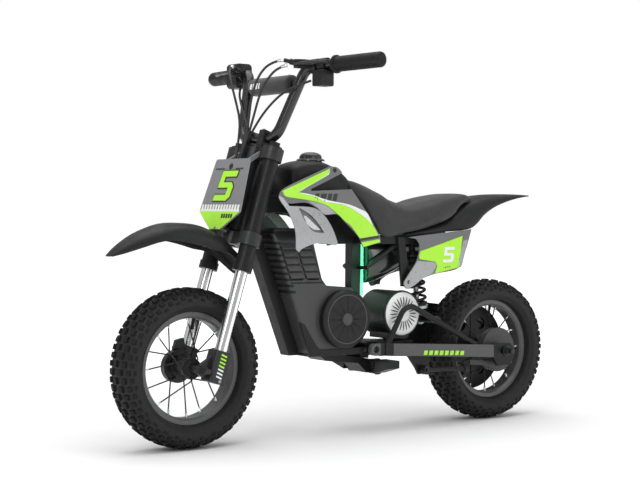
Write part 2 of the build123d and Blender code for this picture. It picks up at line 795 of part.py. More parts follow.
scoop_sheet = curved_sheet((250, 91), (170, 86), (70, 72), 3.0, 370, 520)
with BuildPart() as air_scoops:
    add(scoop_sheet)
    with BuildSketch(side(200)):
        with BuildLine():
            Polyline((209, 498), (226, 501), (212, 474))
            ThreePointArc((212, 474), (195, 442), (189, 392))
            ThreePointArc((189, 392), (142, 402), (92, 404))
            ThreePointArc((92, 404), (107, 440), (130, 463))
            Line((130, 463), (113, 477))
            ThreePointArc((113, 477), (157, 494), (209, 498))
        make_face()
        Polygon((176, 462), (163, 462), (128, 433), (166, 441), align=None, mode=Mode.SUBTRACT)
    extrude(amount=400, mode=Mode.INTERSECT)
    mirror(about=Plane.XZ)
save(air_scoops, "air_scoops")

# ---------------------------------------------------------------- seat, rear mudguard and side panels
seat_line = [(-122, 427), (-166, 437), (-235, 454), (-273, 472), (-290, 488), (-318, 502), (-356, 508)]
guard_wall = 3.0


def plan_outline(points):
    """A symmetrical plan outline from (x, half-width) points, drawn in the active sketch."""
    left = [(x, y) for x, y in points]
    right = [(x, -y) for x, y in reversed(points)]
    Polygon(*left, *right, align=None)


guard_plan = [(-100, 57), (-300, 58), (-340, 52), (-400, 42), (-470, 27), (-544, 11)]
guard_under = [(-122, 421), (-307, 433), (-343, 438)]
with BuildPart() as rear_mudguard:
    with BuildSketch(Plane.XY.offset(380)):
        plan_outline(guard_plan)
    extrude(amount=200)
    with BuildSketch(side(200)):
        with BuildLine():
            Polyline(*seat_line, (-544, 514.5), (-544, 511))
            ThreePointArc((-544, 511), (-420, 489), (-343, 438))
            Polyline(*reversed(guard_under), seat_line[0])
        make_face()
    extrude(amount=400, mode=Mode.INTERSECT)
    hollow_plan = [(x, y - guard_wall) for x, y in guard_plan]
    with BuildPart(mode=Mode.SUBTRACT):
        with BuildSketch(Plane.XY.offset(380)):
            plan_outline([(-90, 54)] + hollow_plan[1:-1] + [(-530, 9)])
        extrude(amount=200)
        with BuildSketch(side(200)):
            Polygon(
                *[(x, z - guard_wall) for x, z in seat_line], (-535, 511.5), (-535, 500), (-470, 400),
                (-80, 400), (-80, 418), align=None,
            )
        extrude(amount=400, mode=Mode.INTERSECT)
save(rear_mudguard, "rear_mudguard")

cushion_plan = [(13, 40), (-20, 52), (-60, 63), (-150, 71), (-240, 69), (-310, 57), (-346, 44), (-358, 30)]
with BuildPart() as seat_cushion:
    with BuildSketch(Plane.XY.offset(380)):
        plan_outline(cushion_plan)
    extrude(amount=200)
    with BuildSketch(side(200)):
        with BuildLine():
            Polyline((12, 541), (12, 507), (-5, 489), (-26, 462), (-54, 423), (-64, 416), (-92, 421))
            Polyline((-92, 421), *[(x, z + 1) for x, z in seat_line])
            Polyline((-356, 509), (-350, 514), (-329, 517))
            ThreePointArc((-329, 517), (-225, 509), (-140, 491))
            ThreePointArc((-140, 491), (-73, 518), (12, 541))
        make_face()
    extrude(amount=400, mode=Mode.INTERSECT)
    # Room under the seat for the spine and the rails.
    with BuildSketch(side(50)):
        Polygon((20, 380), (20, 504), (-30, 486), (-118, 444), (-118, 380), align=None)
    extrude(amount=100, mode=Mode.SUBTRACT)
save(seat_cushion, "seat_cushion")

panel_sheet = curved_sheet((-100, 58), (-215, 65), (-330, 62), 3.0, 290, 450)
with BuildPart() as side_panels:
    add(panel_sheet)
    with BuildSketch(side(200)):
        with BuildLine():
            Polyline((-136, 419), (-305, 431), (-270, 352), (-197, 337), (-138, 309))
            ThreePointArc((-138, 309), (-121, 307), (-117, 322))
            Polyline((-117, 322), (-146, 379), (-151, 404), (-136, 419))
        make_face()
        with Locations((-129, 320)):
            Circle(4, mode=Mode.SUBTRACT)
    extrude(amount=400, mode=Mode.INTERSECT)
    mirror(about=Plane.XZ)
save(side_panels, "side_panels")

# ---------------------------------------------------------------- steering
clamp_low = (262.0, 288.0)  # heights of the lower and upper clamps along the steering axis
clamp_high = (440.0, 466.0)
bar_height = 489.0
leg_bottom = 209.0
leg_top = 470.0


def clamp(heights, lug_r):
    """A fork clamp: a split lug round each leg, a centre boss and a web."""
    with BuildPart() as yoke:
        with BuildSketch(across_steer(heights[0])):
            Rectangle(28, 2 * leg_y)
            Circle(24)
            with Locations((0, leg_y), (0, -leg_y)):
                Circle(lug_r)
            with Locations((0, leg_y), (0, -leg_y)):
                Circle(leg_r + 0.03, mode=Mode.SUBTRACT)
        extrude(amount=heights[1] - heights[0])
    return yoke


lower_yoke = clamp(clamp_low, 22.5)
with BuildPart() as steering_stem:
    add(lower_yoke.part)
    with BuildSketch(across_steer(clamp_low[1] - 1)):
        Circle(steerer_r)
    extrude(amount=186)
    with BuildSketch(across_steer(clamp_low[0] - 1)):
        Circle(10)
    extrude(amount=220, mode=Mode.SUBTRACT)
    with BuildSketch(across_steer(clamp_high[1] + 0.4)):
        RegularPolygon(15.5, 6)
    extrude(amount=8)
save(steering_stem, "steering_stem")

upper_yoke = clamp(clamp_high, 22.0)
with BuildPart() as upper_clamp:
    add(upper_yoke.part)
    # Two risers hold the handlebar; their caps are separate, a slit below each.
    for sign in (1, -1):
        with BuildSketch(across_steer(clamp_high[1] - 1)):
            with Locations((0, sign * 27)):
                Rectangle(30, 18)
        extrude(amount=38)
    with BuildSketch(across_steer(clamp_high[0] - 1)):
        Circle(steerer_r + 0.03)
    extrude(amount=28, mode=Mode.SUBTRACT)
    with BuildSketch(steer_side(60)):
        with Locations((0, bar_height)):
            Circle(bar_r + 0.03)
        with Locations((0, bar_height)):
            Rectangle(40, 0.8)
    extrude(amount=120, mode=Mode.SUBTRACT)
save(upper_clamp, "upper_clamp")

with BuildPart() as fork_legs:
    for sign in (1, -1):
        with BuildSketch(across_steer(leg_bottom, y=sign * leg_y)):
            Circle(leg_r)
        extrude(amount=leg_top - leg_bottom)
        with BuildSketch(across_steer(leg_bottom, y=sign * leg_y)):
            Circle(19.5)
        extrude(amount=16)
        with BuildSketch(across_steer(leg_bottom - 1, y=sign * leg_y)):
            Circle(stanchion_r + running_gap)
        extrude(amount=leg_top - leg_bottom - 6, mode=Mode.SUBTRACT)
        with BuildSketch(across_steer(leg_top - 0.5, y=sign * leg_y)):
            RegularPolygon(12, 6)
        extrude(amount=9)
save(fork_legs, "fork_legs")

with BuildPart() as fork_stanchions:
    for sign in (1, -1):
        with BuildSketch(across_steer(-8, y=sign * leg_y)):
            Circle(stanchion_r)
            Circle(10, mode=Mode.SUBTRACT)
        extrude(amount=338)
save(fork_stanchions, "fork_stanchions")

with BuildPart() as fork_feet:
    for sign in (1, -1):
        with BuildSketch(across_steer(-15, y=sign * leg_y)):
            Circle(18)
        extrude(amount=60)
        # Plate that carries the axle ahead of the leg.
        with BuildSketch(steer_side(sign * leg_y + 4)):
            Polygon((0, 40), (14, 38), (40, 10), (40, -9), (28, -13), (0, -13), align=None)
            with Locations((fork_lead, 0)):
                Circle(front_axle_r + 0.1, mode=Mode.SUBTRACT)
        extrude(amount=8)
        with BuildSketch(across_steer(-8.1, y=sign * leg_y)):
            Circle(stanchion_r + 0.03)
        extrude(amount=60, mode=Mode.SUBTRACT)
save(fork_feet, "fork_feet")

with BuildPart() as front_axle:
    add(rod((front_axle_x, -86, wheel_radius), (front_axle_x, 86, wheel_radius), front_axle_r))
    for sign in (1, -1):
        add(rod((front_axle_x, sign * 66.3, wheel_radius), (front_axle_x, sign * 68, wheel_radius), 10))
        with BuildSketch(side(sign * 71 + 3)):
            with Locations((front_axle_x, wheel_radius)):
                RegularPolygon(8, 6)
        extrude(amount=6)
    add(rod((front_axle_x, 28.4, wheel_radius), (front_axle_x, 57.6, wheel_radius), 8))
    add(rod((front_axle_x, -41.4, wheel_radius), (front_axle_x, -57.6, wheel_radius), 8))
save(front_axle, "front_axle")

with BuildPart() as front_brake_plate:
    with BuildSketch(side(-41.4)):
        with Locations((front_axle_x, wheel_radius)):
            Circle(31.5)
    extrude(amount=2)
    # Reaction lug and cable stop above the drum.
    with BuildSketch(side(-33)):
        Polygon((front_axle_x - 20, 196), (front_axle_x + 6, 196), (front_axle_x + 2, 212), (front_axle_x - 16, 216), align=None)
    extrude(amount=9)
    with BuildSketch(side(-41.4)):
        Polygon((front_axle_x - 20, 180), (front_axle_x + 6, 180), (front_axle_x + 6, 200), (front_axle_x - 20, 200), align=None)
    extrude(amount=2)
    with BuildSketch(side(-30)):
        with Locations((front_axle_x, wheel_radius)):
            Circle(8.1)
    extrude(amount=20, mode=Mode.SUBTRACT)
save(front_brake_plate, "front_brake_plate")

# ---------------------------------------------------------------- handlebar and controls
bar_centre = steer_foot + upward * bar_height
bar_low = Vector(bar_centre.X, 61, bar_centre.Z)
bar_bend = Vector(177, 101, 760)
bar_end = Vector(141, 296, 764)
crossbar_x, crossbar_z = 186.5, 729.0
grip_dir = (bar_end - bar_bend).normalized()


def mirrored(point):
    """The same point on the bike's other side."""
    return Vector(point.X, -point.Y, point.Z)


def on_bar(y):
    """Point on the left bar end's centre line, at a distance from the centre plane."""
    return bar_bend + grip_dir * ((y - bar_bend.Y) / grip_dir.Y)


bar_points = [mirrored(bar_end), mirrored(bar_bend), mirrored(bar_low), bar_low, bar_bend, bar_end]
bar_bends = [28, 32, 32, 28]
bar_tube = bent_tube(bar_points, bar_bends, bar_r, bar_r - 2.0)
bar_room = bent_tube(bar_points, bar_bends, bar_r + 0.03)  # cut from everything clamped on the bar
crossbar_end = 88.5
with BuildPart() as handlebar:
    add(rod((crossbar_x, -crossbar_end, crossbar_z), (crossbar_x, crossbar_end, crossbar_z), 8.0))
    add(bar_tube)
save(handlebar, "handlebar")

with BuildPart() as crossbar_pad:
    add(rod((crossbar_x, -70, crossbar_z), (crossbar_x, 70, crossbar_z), 18.5, 8.3))
save(crossbar_pad, "crossbar_pad")

grip_start_y = 179.0
grip_end_y = 297.5
with BuildPart() as left_grip:
    add(rod(on_bar(grip_start_y), on_bar(grip_end_y), grip_r))
    add(rod(on_bar(grip_start_y), on_bar(grip_start_y + 5), grip_r + 3))
    add(rod(on_bar(grip_start_y - 3), on_bar(296.3), bar_r + running_gap), mode=Mode.SUBTRACT)
save(left_grip, "left_grip")

with BuildPart() as throttle_grip:
    add(mirror(left_grip.part, about=Plane.XZ, mode=Mode.PRIVATE))
save(throttle_grip, "throttle_grip")

lever_pivot = Vector(211, 118, 0)
lever_low = 760.0
lever_high = 768.0
perch_y = (119.0, 135.5)


def lever_perch(sign):
    """The clamp that holds a brake lever on the bar, with the cable's adjuster."""
    with BuildPart() as perch:
        add(rod(on_bar(perch_y[0]), on_bar(perch_y[1]), 15))
        add(block((180, 112, 755.5), (205, 130, 772.5)))
        with BuildSketch(Plane.XY.offset(755.5)):
            with Locations((lever_pivot.X, lever_pivot.Y)):
                Circle(8)
            Polygon((200, 112), (212, 110), (212, 126), (200, 130), align=None)
        extrude(amount=17)
        with BuildSketch(Plane.XY.offset(lever_low - 0.4)):
            Polygon((198.5, 100), (226, 100), (226, 140), (198.5, 140), align=None)
        extrude(amount=lever_high - lever_low + 0.8, mode=Mode.SUBTRACT)
        with Locations((lever_pivot.X, lever_pivot.Y, 764)):
            Cylinder(3, 17)
        add(rod((192, 113, 764), (226, 92, 772), 4.2))
        add(rod((206, 104.3, 767.3), (216, 98.2, 769.6), 6.0))
        add(bar_room, mode=Mode.SUBTRACT)
    if sign > 0:
        return perch.part
    return mirror(perch.part, about=Plane.XZ)


def brake_lever(sign):
    """A brake lever: boss on its pivot and a blade that curves out ahead of the grip."""
    with BuildPart() as lever:
        with BuildSketch(Plane.XY.offset(lever_low)):
            with Locations((lever_pivot.X, lever_pivot.Y)):
                Circle(7.5)
            with BuildLine():
                Polyline((218, 115), (216, 140))
                ThreePointArc((216, 140), (211, 172), (199, 203))
                Polyline((199, 203), (193, 200))
                ThreePointArc((193, 200), (203, 170), (206, 138))
                Polyline((206, 138), (205, 122), (218, 115))
            make_face()
        extrude(amount=lever_high - lever_low)
        with Locations((lever_pivot.X, lever_pivot.Y, 764)):
            Cylinder(3 + running_gap, 20, mode=Mode.SUBTRACT)
    if sign > 0:
        return lever.part
    return mirror(lever.part, about=Plane.XZ)


left_perch = lever_perch(1)
right_perch = lever_perch(-1)
with BuildPart() as lever_perches:
    add(left_perch)
    add(right_perch)
save(lever_perches, "lever_perches")

left_lever = brake_lever(1)
with BuildPart() as brake_lever_left:
    add(left_lever)
save(brake_lever_left, "brake_lever_left")
right_lever = brake_lever(-1)
with BuildPart() as brake_lever_right:
    add(right_lever)
save(brake_lever_right, "brake_lever_right")

# Throttle housing with the battery gauge, between the right lever and its grip.
with BuildPart() as throttle_housing:
    add(block((146, -174.6, 733), (187, -139, 786)))
    fillet(throttle_housing.edges().filter_by(Axis.Y), radius=9)
    add(bar_room, mode=Mode.SUBTRACT)
save(throttle_housing, "throttle_housing")

# Switch box, hung under the bar between the left lever and its grip.
with BuildPart() as switch_box:
    add(rod(on_bar(143), on_bar(159), 15))
    add(block((160, 139, 719), (190, 170, 751)))
    fillet(switch_box.edges().filter_by(Axis.X), radius=4)
    add(bar_room, mode=Mode.SUBTRACT)
save(switch_box, "switch_box")

# ---------------------------------------------------------------- number plate and front mudguard
with BuildPart() as number_plate:
    with BuildSketch(facing_forward(44.5)):
        plate = Polygon((-61, 430), (61, 430), (74, 318), (19, 281), (-19, 281), (-74, 318), align=None)
        fillet(plate.vertices(), radius=6)
        with Locations((0, 414)):
            Circle(3.5, mode=Mode.SUBTRACT)
    extrude(amount=3)
    # Two stays from the upper clamp and a foot on the lower one.
    for sign in (1, -1):
        with BuildSketch(steer_side(sign * 36 + 4)):
            Polygon((14.3, 444), (14.3, 456), (45, 424), (45, 412), align=None)
        extrude(amount=8)
    with BuildSketch(steer_side(10)):
        Polygon((24.4, 281), (24.4, 286), (45, 288), (45, 283), align=None)
    extrude(amount=20)
save(number_plate, "number_plate")

mud_plan = [(573, 12), (530, 31), (455, 43), (340, 43), (300, 42), (268, 30), (254, 14)]
mud_wall = 2.6
with BuildPart() as front_mudguard:
    with BuildSketch(Plane.XY.offset(300)):
        plan_outline(mud_plan)
    extrude(amount=200)
    with BuildSketch(side(200)):
        with BuildLine():
            ThreePointArc((572, 384), (516, 423), (449, 446))
            ThreePointArc((449, 446), (380, 444), (318, 417))
            Polyline((318, 417), (305, 402), (284, 389), (266, 366), (257, 344), (262, 340))
            Polyline((262, 340), (288, 366), (316, 386), (376, 400))
            ThreePointArc((376, 400), (425, 411), (462, 411))
            ThreePointArc((462, 411), (510, 398), (562, 381))
            Line((562, 381), (572, 384))
        make_face()
    extrude(amount=400, mode=Mode.INTERSECT)
    with BuildPart(mode=Mode.SUBTRACT):
        with BuildSketch(Plane.XY.offset(300)):
            plan_outline([(560, 12), (528, 29), (454, 43 - mud_wall), (340, 43 - mud_wall), (300, 39), (270, 27), (240, 14)])
        extrude(amount=200)
        with BuildSketch(side(200)):
            with BuildLine():
                ThreePointArc((566, 384), (514, 420), (449, 446 - mud_wall))
                ThreePointArc((449, 446 - mud_wall), (381, 441.2), (320, 414.5))
                Polyline((320, 414.5), (307, 399.5), (287, 387), (269.5, 365), (260, 341), (260, 330))
                Polyline((260, 330), (566, 330), (566, 384))
            make_face()
        extrude(amount=400, mode=Mode.INTERSECT)
    # Pad between the mudguard and the lower fork clamp.
    with BuildSketch(across_steer(246)):
        Rectangle(26, 22)
    extrude(amount=clamp_low[0] - 246.1)
save(front_mudguard, "front_mudguard")

# ---------------------------------------------------------------- control cables
cable_r = 2.5
loom_ahead = 33.8
loom_top = 398.0


def loom_entry(y, ahead):
    """Where a cable enters the loom behind the number plate."""
    return steer_foot + upward * (loom_top + 0.3) + forward * ahead + Vector(0, y, 0)


def cable(points):
    """A cable whose bends are as large as its runs allow; its radii are printed."""
    runs = [Vector(*a) - Vector(*b) for a, b in zip(points[1:], points[:-1])]
    radii = []
    for before, after in zip(runs[:-1], runs[1:]):
        turn = radians(before.get_angle(after))
        radii.append(0.45 * min(before.length, after.length) / max(sin(turn / 2) / cos(turn / 2), 0.02))
    print("cable radii", [round(r) for r in radii])
    return bent_tube(points, radii, cable_r)


def steer_point(ahead, y, height):
    return steer_foot + upward * height + forward * ahead + Vector(0, y, 0)


cable_routes = [
    [(227.4, 91.1, 772.4), (247, 74, 768), (257, 46, 741), (256, 22, 700), (254, 8, 652),
     steer_point(28, 5, 468), steer_point(33, 4.5, 430), loom_entry(4.5, 33)],
    [(192.5, 138, 730), (207, 113, 722), (219, 78, 708), (228, 46, 684), (238, 22, 655),
     steer_point(29, 0, 465), steer_point(29, 0, 430), loom_entry(0, 28.5)],
    [(176, -135.6, 736.4), (196, -113, 720), (214, -78, 694), (226, -44, 662), (236, -18, 632),
     steer_point(28, -6, 456), steer_point(33, -4.5, 428), loom_entry(-4.5, 33)],
    [(227.4, -91.1, 772.4), (246, -76, 766), (256, -54, 738), (257, -34, 698), (254, -20, 654),
     steer_point(38, -12, 466), steer_point(40, -2, 432), loom_entry(-0.5, 38.5)],
]
cable_solids = [cable(route) for route in cable_routes]
with BuildPart() as control_cables:
    for solid in cable_solids:
        add(solid)
    with BuildSketch(across_steer(loom_top - 100, ahead=loom_ahead)):
        Circle(9.4)
    extrude(amount=100)
save(control_cables, "control_cables")
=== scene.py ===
import json
import math
import random

import bmesh
import bpy
from mathutils import Matrix, Vector
from mathutils.geometry import interpolate_bezier


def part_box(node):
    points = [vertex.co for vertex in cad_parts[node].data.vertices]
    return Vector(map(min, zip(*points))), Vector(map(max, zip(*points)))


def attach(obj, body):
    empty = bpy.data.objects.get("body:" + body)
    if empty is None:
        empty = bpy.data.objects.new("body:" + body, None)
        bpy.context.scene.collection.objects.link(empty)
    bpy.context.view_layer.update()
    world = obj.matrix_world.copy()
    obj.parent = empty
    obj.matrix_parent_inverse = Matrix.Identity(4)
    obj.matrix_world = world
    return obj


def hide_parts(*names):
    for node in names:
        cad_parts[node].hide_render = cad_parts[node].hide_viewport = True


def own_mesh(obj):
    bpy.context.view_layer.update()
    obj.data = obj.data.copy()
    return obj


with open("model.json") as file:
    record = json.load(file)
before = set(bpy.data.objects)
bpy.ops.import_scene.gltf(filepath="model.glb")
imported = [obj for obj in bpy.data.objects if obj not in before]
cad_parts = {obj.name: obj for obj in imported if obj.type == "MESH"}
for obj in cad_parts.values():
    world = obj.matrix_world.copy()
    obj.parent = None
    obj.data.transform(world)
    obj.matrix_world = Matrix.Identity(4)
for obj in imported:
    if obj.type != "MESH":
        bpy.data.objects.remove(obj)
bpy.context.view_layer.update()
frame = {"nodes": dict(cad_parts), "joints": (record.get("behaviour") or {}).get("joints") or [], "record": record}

nodes = frame["nodes"]
joints = {j["name"]: j for j in frame["joints"]}
MM = 0.001
SIDES = ((1, "left"), (-1, "right"))

# ---------------------------------------------------------------- camera
SENSOR_MM = 36.0
FOCAL_MM = 82.665
EYE = Vector((1.9234, 2.4820, 0.4735))  # metres from the bike's origin
AZIMUTH = math.radians(143.15)
PITCH = math.radians(1.15)
ROLL = math.radians(0.5)
back = Vector((math.sin(AZIMUTH) * math.cos(PITCH), -math.cos(AZIMUTH) * math.cos(PITCH), math.sin(PITCH)))
level = Vector((0, 0, 1)).cross(back).normalized()
raised = back.cross(level)
right = level * math.cos(ROLL) + raised * math.sin(ROLL)
above = raised * math.cos(ROLL) - level * math.sin(ROLL)
camera_data = bpy.data.cameras.new("camera")
camera_data.lens = FOCAL_MM
camera_data.sensor_width = SENSOR_MM
camera_data.clip_start = 0.05
camera = bpy.data.objects.new("camera", camera_data)
camera.matrix_world = Matrix((
    (right.x, above.x, back.x, EYE.x),
    (right.y, above.y, back.y, EYE.y),
    (right.z, above.z, back.z, EYE.z),
    (0, 0, 0, 1),
))
bpy.context.scene.collection.objects.link(camera)
bpy.context.scene.camera = camera
bpy.context.scene.view_settings.view_transform = "Standard"


# ---------------------------------------------------------------- materials
def add_node(tree, kind, settings=None, **inputs):
    made = tree.nodes.new(kind)
    for key, value in (settings or {}).items():
        setattr(made, key, value)
    for key, value in inputs.items():
        made.inputs[key.replace("_", " ")].default_value = value
    return made


def material(name, colour, rough, metallic=0.0, tint=0.10, blotch=14.0, spread=0.08, grain=900.0,
             depth=30, round_edge=0.0, edge_highlight=0.0, edge_highlight_colour=(0.35, 0.35, 0.36), coat=0.0,
             sheen=0.0, specular=0.5, voronoi=False, glow=None):
    """A finished surface: mottled colour and gloss, a relief in micrometres, rounded edges with a painted
    highlight along them.
    """
    mat = bpy.data.materials.new(name)
    mat.use_nodes = True
    tree = mat.node_tree
    tree.nodes.clear()
    link = tree.links.new
    out = add_node(tree, "ShaderNodeOutputMaterial")
    shader = add_node(tree, "ShaderNodeBsdfPrincipled", Metallic=metallic, Coat_Weight=coat,
                      Coat_Roughness=0.08, Sheen_Weight=sheen, Specular_IOR_Level=specular)
    link(shader.outputs[0], out.inputs[0])
    where = add_node(tree, "ShaderNodeTexCoord").outputs["Object"]
    cloud = add_node(tree, "ShaderNodeTexNoise", Scale=blotch, Detail=4.0, Roughness=0.6)
    link(where, cloud.inputs["Vector"])
    mix = add_node(tree, "ShaderNodeMix", {"data_type": "RGBA"})
    mix.inputs[6].default_value = (*[c * (1 - tint) for c in colour], 1)
    mix.inputs[7].default_value = (*[min(1.0, c * (1 + tint)) for c in colour], 1)
    link(cloud.outputs[0], mix.inputs[0])
    tone = mix.outputs[2]
    gloss_noise = add_node(tree, "ShaderNodeTexNoise", Scale=blotch * 4.3, Detail=5.0)
    link(where, gloss_noise.inputs["Vector"])
    gloss = add_node(tree, "ShaderNodeMapRange", From_Min=0.3, From_Max=0.7,
                     To_Min=max(0.02, rough - spread), To_Max=min(1.0, rough + spread))
    link(gloss_noise.outputs[0], gloss.inputs["Value"])
    link(gloss.outputs[0], shader.inputs["Roughness"])
    if voronoi:
        relief = add_node(tree, "ShaderNodeTexVoronoi", {"feature": "SMOOTH_F1"}, Scale=grain)
    else:
        relief = add_node(tree, "ShaderNodeTexNoise", Scale=grain, Detail=3.0)
    link(where, relief.inputs["Vector"])
    bump = add_node(tree, "ShaderNodeBump", Distance=depth * 1e-6, Strength=0.6)
    link(relief.outputs[0], bump.inputs["Height"])
    link(bump.outputs[0], shader.inputs["Normal"])
    if round_edge:
        bevel = add_node(tree, "ShaderNodeBevel", {"samples": 4}, Radius=round_edge)
        link(bevel.outputs[0], bump.inputs["Normal"])
        # Rounded edges are painted a lighter colour here: a painted highlight along them.
        if edge_highlight:
            facet = add_node(tree, "ShaderNodeNewGeometry")
            lean = add_node(tree, "ShaderNodeVectorMath", {"operation": "DOT_PRODUCT"})
            link(bevel.outputs[0], lean.inputs[0])
            link(facet.outputs["Normal"], lean.inputs[1])
            edge = add_node(tree, "ShaderNodeMapRange", From_Min=0.97, From_Max=0.8, To_Max=edge_highlight)
            link(lean.outputs["Value"], edge.inputs["Value"])
            edge_lit_tone = add_node(tree, "ShaderNodeMix", {"data_type": "RGBA"})
            edge_lit_tone.inputs[7].default_value = (*edge_highlight_colour, 1)
            link(edge.outputs[0], edge_lit_tone.inputs[0])
            link(tone, edge_lit_tone.inputs[6])
            tone = edge_lit_tone.outputs[2]
    link(tone, shader.inputs["Base Color"])
    if glow:
        link(tone, shader.inputs["Emission Color"])
        shader.inputs["Emission Strength"].default_value = glow
    return mat


BLACK = (0.010, 0.0103, 0.011)
LIME = (0.40, 0.84, 0.03)
paint = {
    # The lighter second colour on some finishes is a painted highlight along their rounded edges.
    "frame_black": material("frame_paint", (0.009, 0.0093, 0.0102), 0.38, grain=1400, depth=40, specular=0.28,
                            round_edge=0.0012, edge_highlight=0.12, edge_highlight_colour=(0.11, 0.11, 0.115)),
    "black_plastic": material("black_moulding", BLACK, 0.45, grain=1100, depth=60, round_edge=0.001,
                              specular=0.3, edge_highlight=0.08, edge_highlight_colour=(0.09, 0.09, 0.095)),
    "gloss_black": material("gloss_moulding", (0.008, 0.0085, 0.009), 0.2, coat=0.4, depth=10,
                            round_edge=0.001),
    "lime_plastic": material("lime_sheet", LIME, 0.33, tint=0.05, grain=300, depth=2, coat=0.1),
    "white_plastic": material("white_sheet", (0.80, 0.82, 0.80), 0.35, tint=0.03, depth=10, coat=0.3),
    "silver_plastic": material("silver_moulding", (0.36, 0.365, 0.37), 0.3, metallic=0.3, tint=0.06,
                               grain=300, depth=2, coat=0.1),
    "panel_grey": material("grey_moulding", (0.140, 0.141, 0.146), 0.38, tint=0.06, grain=300,
                           depth=2, coat=0.1),
    "plate_grey": material("plate_sheet", (0.20, 0.202, 0.208), 0.4, tint=0.05, depth=10, round_edge=0.0005),
    "seat_cover": material("seat_vinyl", (0.018, 0.018, 0.0192), 0.55, grain=520, depth=220, voronoi=True,
                           spread=0.1, sheen=0.08, blotch=9),
    "tyre_rubber": material("tyre_rubber", (0.015, 0.015, 0.0154), 0.6, specular=0.3, grain=700, depth=120,
                            tint=0.22, blotch=30),
    "soft_rubber": material("grip_rubber", (0.007, 0.007, 0.0074), 0.45, specular=0.25, grain=1000, depth=80,
                            tint=0.15),
    "pad_foam": material("pad_cover", (0.014, 0.014, 0.015), 0.7, grain=1500, depth=120, voronoi=True,
                         sheen=0.3),
    "chrome_tube": material("hard_chrome", (0.90, 0.905, 0.91), 0.16, metallic=1.0, tint=0.02, spread=0.02,
                            grain=60, depth=1),
    "bar_metal": material("bar_paint", (0.008, 0.0082, 0.009), 0.26, coat=0.3, depth=20, specular=0.45),
    "alloy": material("cast_alloy", (0.55, 0.56, 0.57), 0.35, metallic=1.0, grain=800, depth=50,
                      round_edge=0.0008, tint=0.08),
    "dark_alloy": material("dark_casting", (0.022, 0.0225, 0.024), 0.4, metallic=0.2, grain=800, depth=60,
                           round_edge=0.001, edge_highlight=0.15, edge_highlight_colour=(0.16, 0.16, 0.17)),
    "rim_alloy": material("rim_paint", (0.11, 0.111, 0.113), 0.38, metallic=0.2, depth=20, coat=0.1),
    "spoke_steel": material("spoke_wire", (0.008, 0.008, 0.0085), 0.4, metallic=0.2, depth=10),
    "zinc_steel": material("zinc_steel", (0.42, 0.43, 0.44), 0.36, metallic=1.0, grain=900, depth=30,
                           round_edge=0.0006, tint=0.12),
    "chain_steel": material("oiled_chain", (0.10, 0.095, 0.09), 0.4, metallic=0.9, tint=0.25, blotch=60,
                            depth=40),
    "spring_paint": material("spring_paint", (0.008, 0.008, 0.009), 0.5, specular=0.3, depth=30),
    "led_tube": material("lit_tube", (0.17, 0.80, 0.42), 0.3, tint=0.06, blotch=40, glow=0.9),
    "cable_jacket": material("cable_jacket", (0.012, 0.012, 0.013), 0.45, grain=900, depth=40, tint=0.2),
    "nipple": material("nipple_plate", (0.75, 0.76, 0.77), 0.22, metallic=1.0, depth=10),
    "motor_face": material("motor_face", (0.80, 0.81, 0.81), 0.4, metallic=0.1, tint=0.04, grain=600,
                           depth=30),
    # A near-black sheet that is painted shade in gaps and slots.
    "painted_shade": material("painted_recess_shade", (0.008, 0.008, 0.009), 0.7, depth=40, tint=0.2),
    "arm_paint": material("arm_paint", (0.075, 0.0755, 0.077), 0.42, grain=1400, depth=40, round_edge=0.0012,
                          edge_highlight=0.1, edge_highlight_colour=(0.2, 0.2, 0.2)),
    "cover_moulding": material("cover_moulding", (0.045, 0.0455, 0.047), 0.45, grain=1000, depth=60,
                               round_edge=0.001),
    "tread_rubber": material("tread_rubber", (0.007, 0.007, 0.0073), 0.68, grain=700, depth=140, tint=0.25,
                             blotch=40, specular=0.25),
    "hub_casting": material("hub_casting", (0.052, 0.0525, 0.054), 0.42, metallic=0.2, grain=700, depth=60,
                            round_edge=0.001, edge_highlight=0.2, edge_highlight_colour=(0.2, 0.2, 0.2)),
    # A light sheet that is a painted highlight in the scoop's vent.
    "facet": material("painted_highlight_sheet", (0.62, 0.63, 0.64), 0.25, metallic=0.3, depth=10, coat=0.3),
    # Black for print and screw heads, also used as painted shade on the motor's slots and over the side panel's
    # screw hole.
    "ink_and_shade": material("print_ink_and_painted_shade", (0.018, 0.020, 0.016), 0.45, tint=0.1, depth=10),
}

FINISH = {
    "battery_cover_left": "cover_moulding", "battery_cover_right": "cover_moulding",
    "front_axle": "dark_alloy",
    "rear_axle": "dark_alloy", "rear_hub": "hub_casting", "rear_brake_plate": "hub_casting",
}
finish_of = {row["node"]: row["material_slot"] for row in frame["record"]["subparts"]}
for name, cad in nodes.items():
    cad.data.materials.clear()
    cad.data.materials.append(paint[FINISH.get(name, finish_of[name])])

# ---------------------------------------------------------------- building helpers
SLIVER_M2 = 2e-7  # faces smaller than this take their shading from the surface


def sharpen(mesh, degrees=38.0):
    """Smooth shading, with a hard edge wherever two faces meet at more than this angle."""
    bm = bmesh.new()
    bm.from_mesh(mesh)
    limit = math.radians(degrees)
    for face in bm.faces:
        face.smooth = True
    for edge in bm.edges:
        edge.smooth = not (len(edge.link_faces) == 2 and edge.calc_face_angle(0.0) > limit)
    bm.to_mesh(mesh)
    bm.free()


def place(obj, body, look, hides=()):
    """Give a new piece its material and its CAD body, and hide the CAD nodes it stands for."""
    obj.data.materials.clear()
    obj.data.materials.append(paint[look])
    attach(obj, body)
    if hides:
        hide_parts(*hides)
    return obj


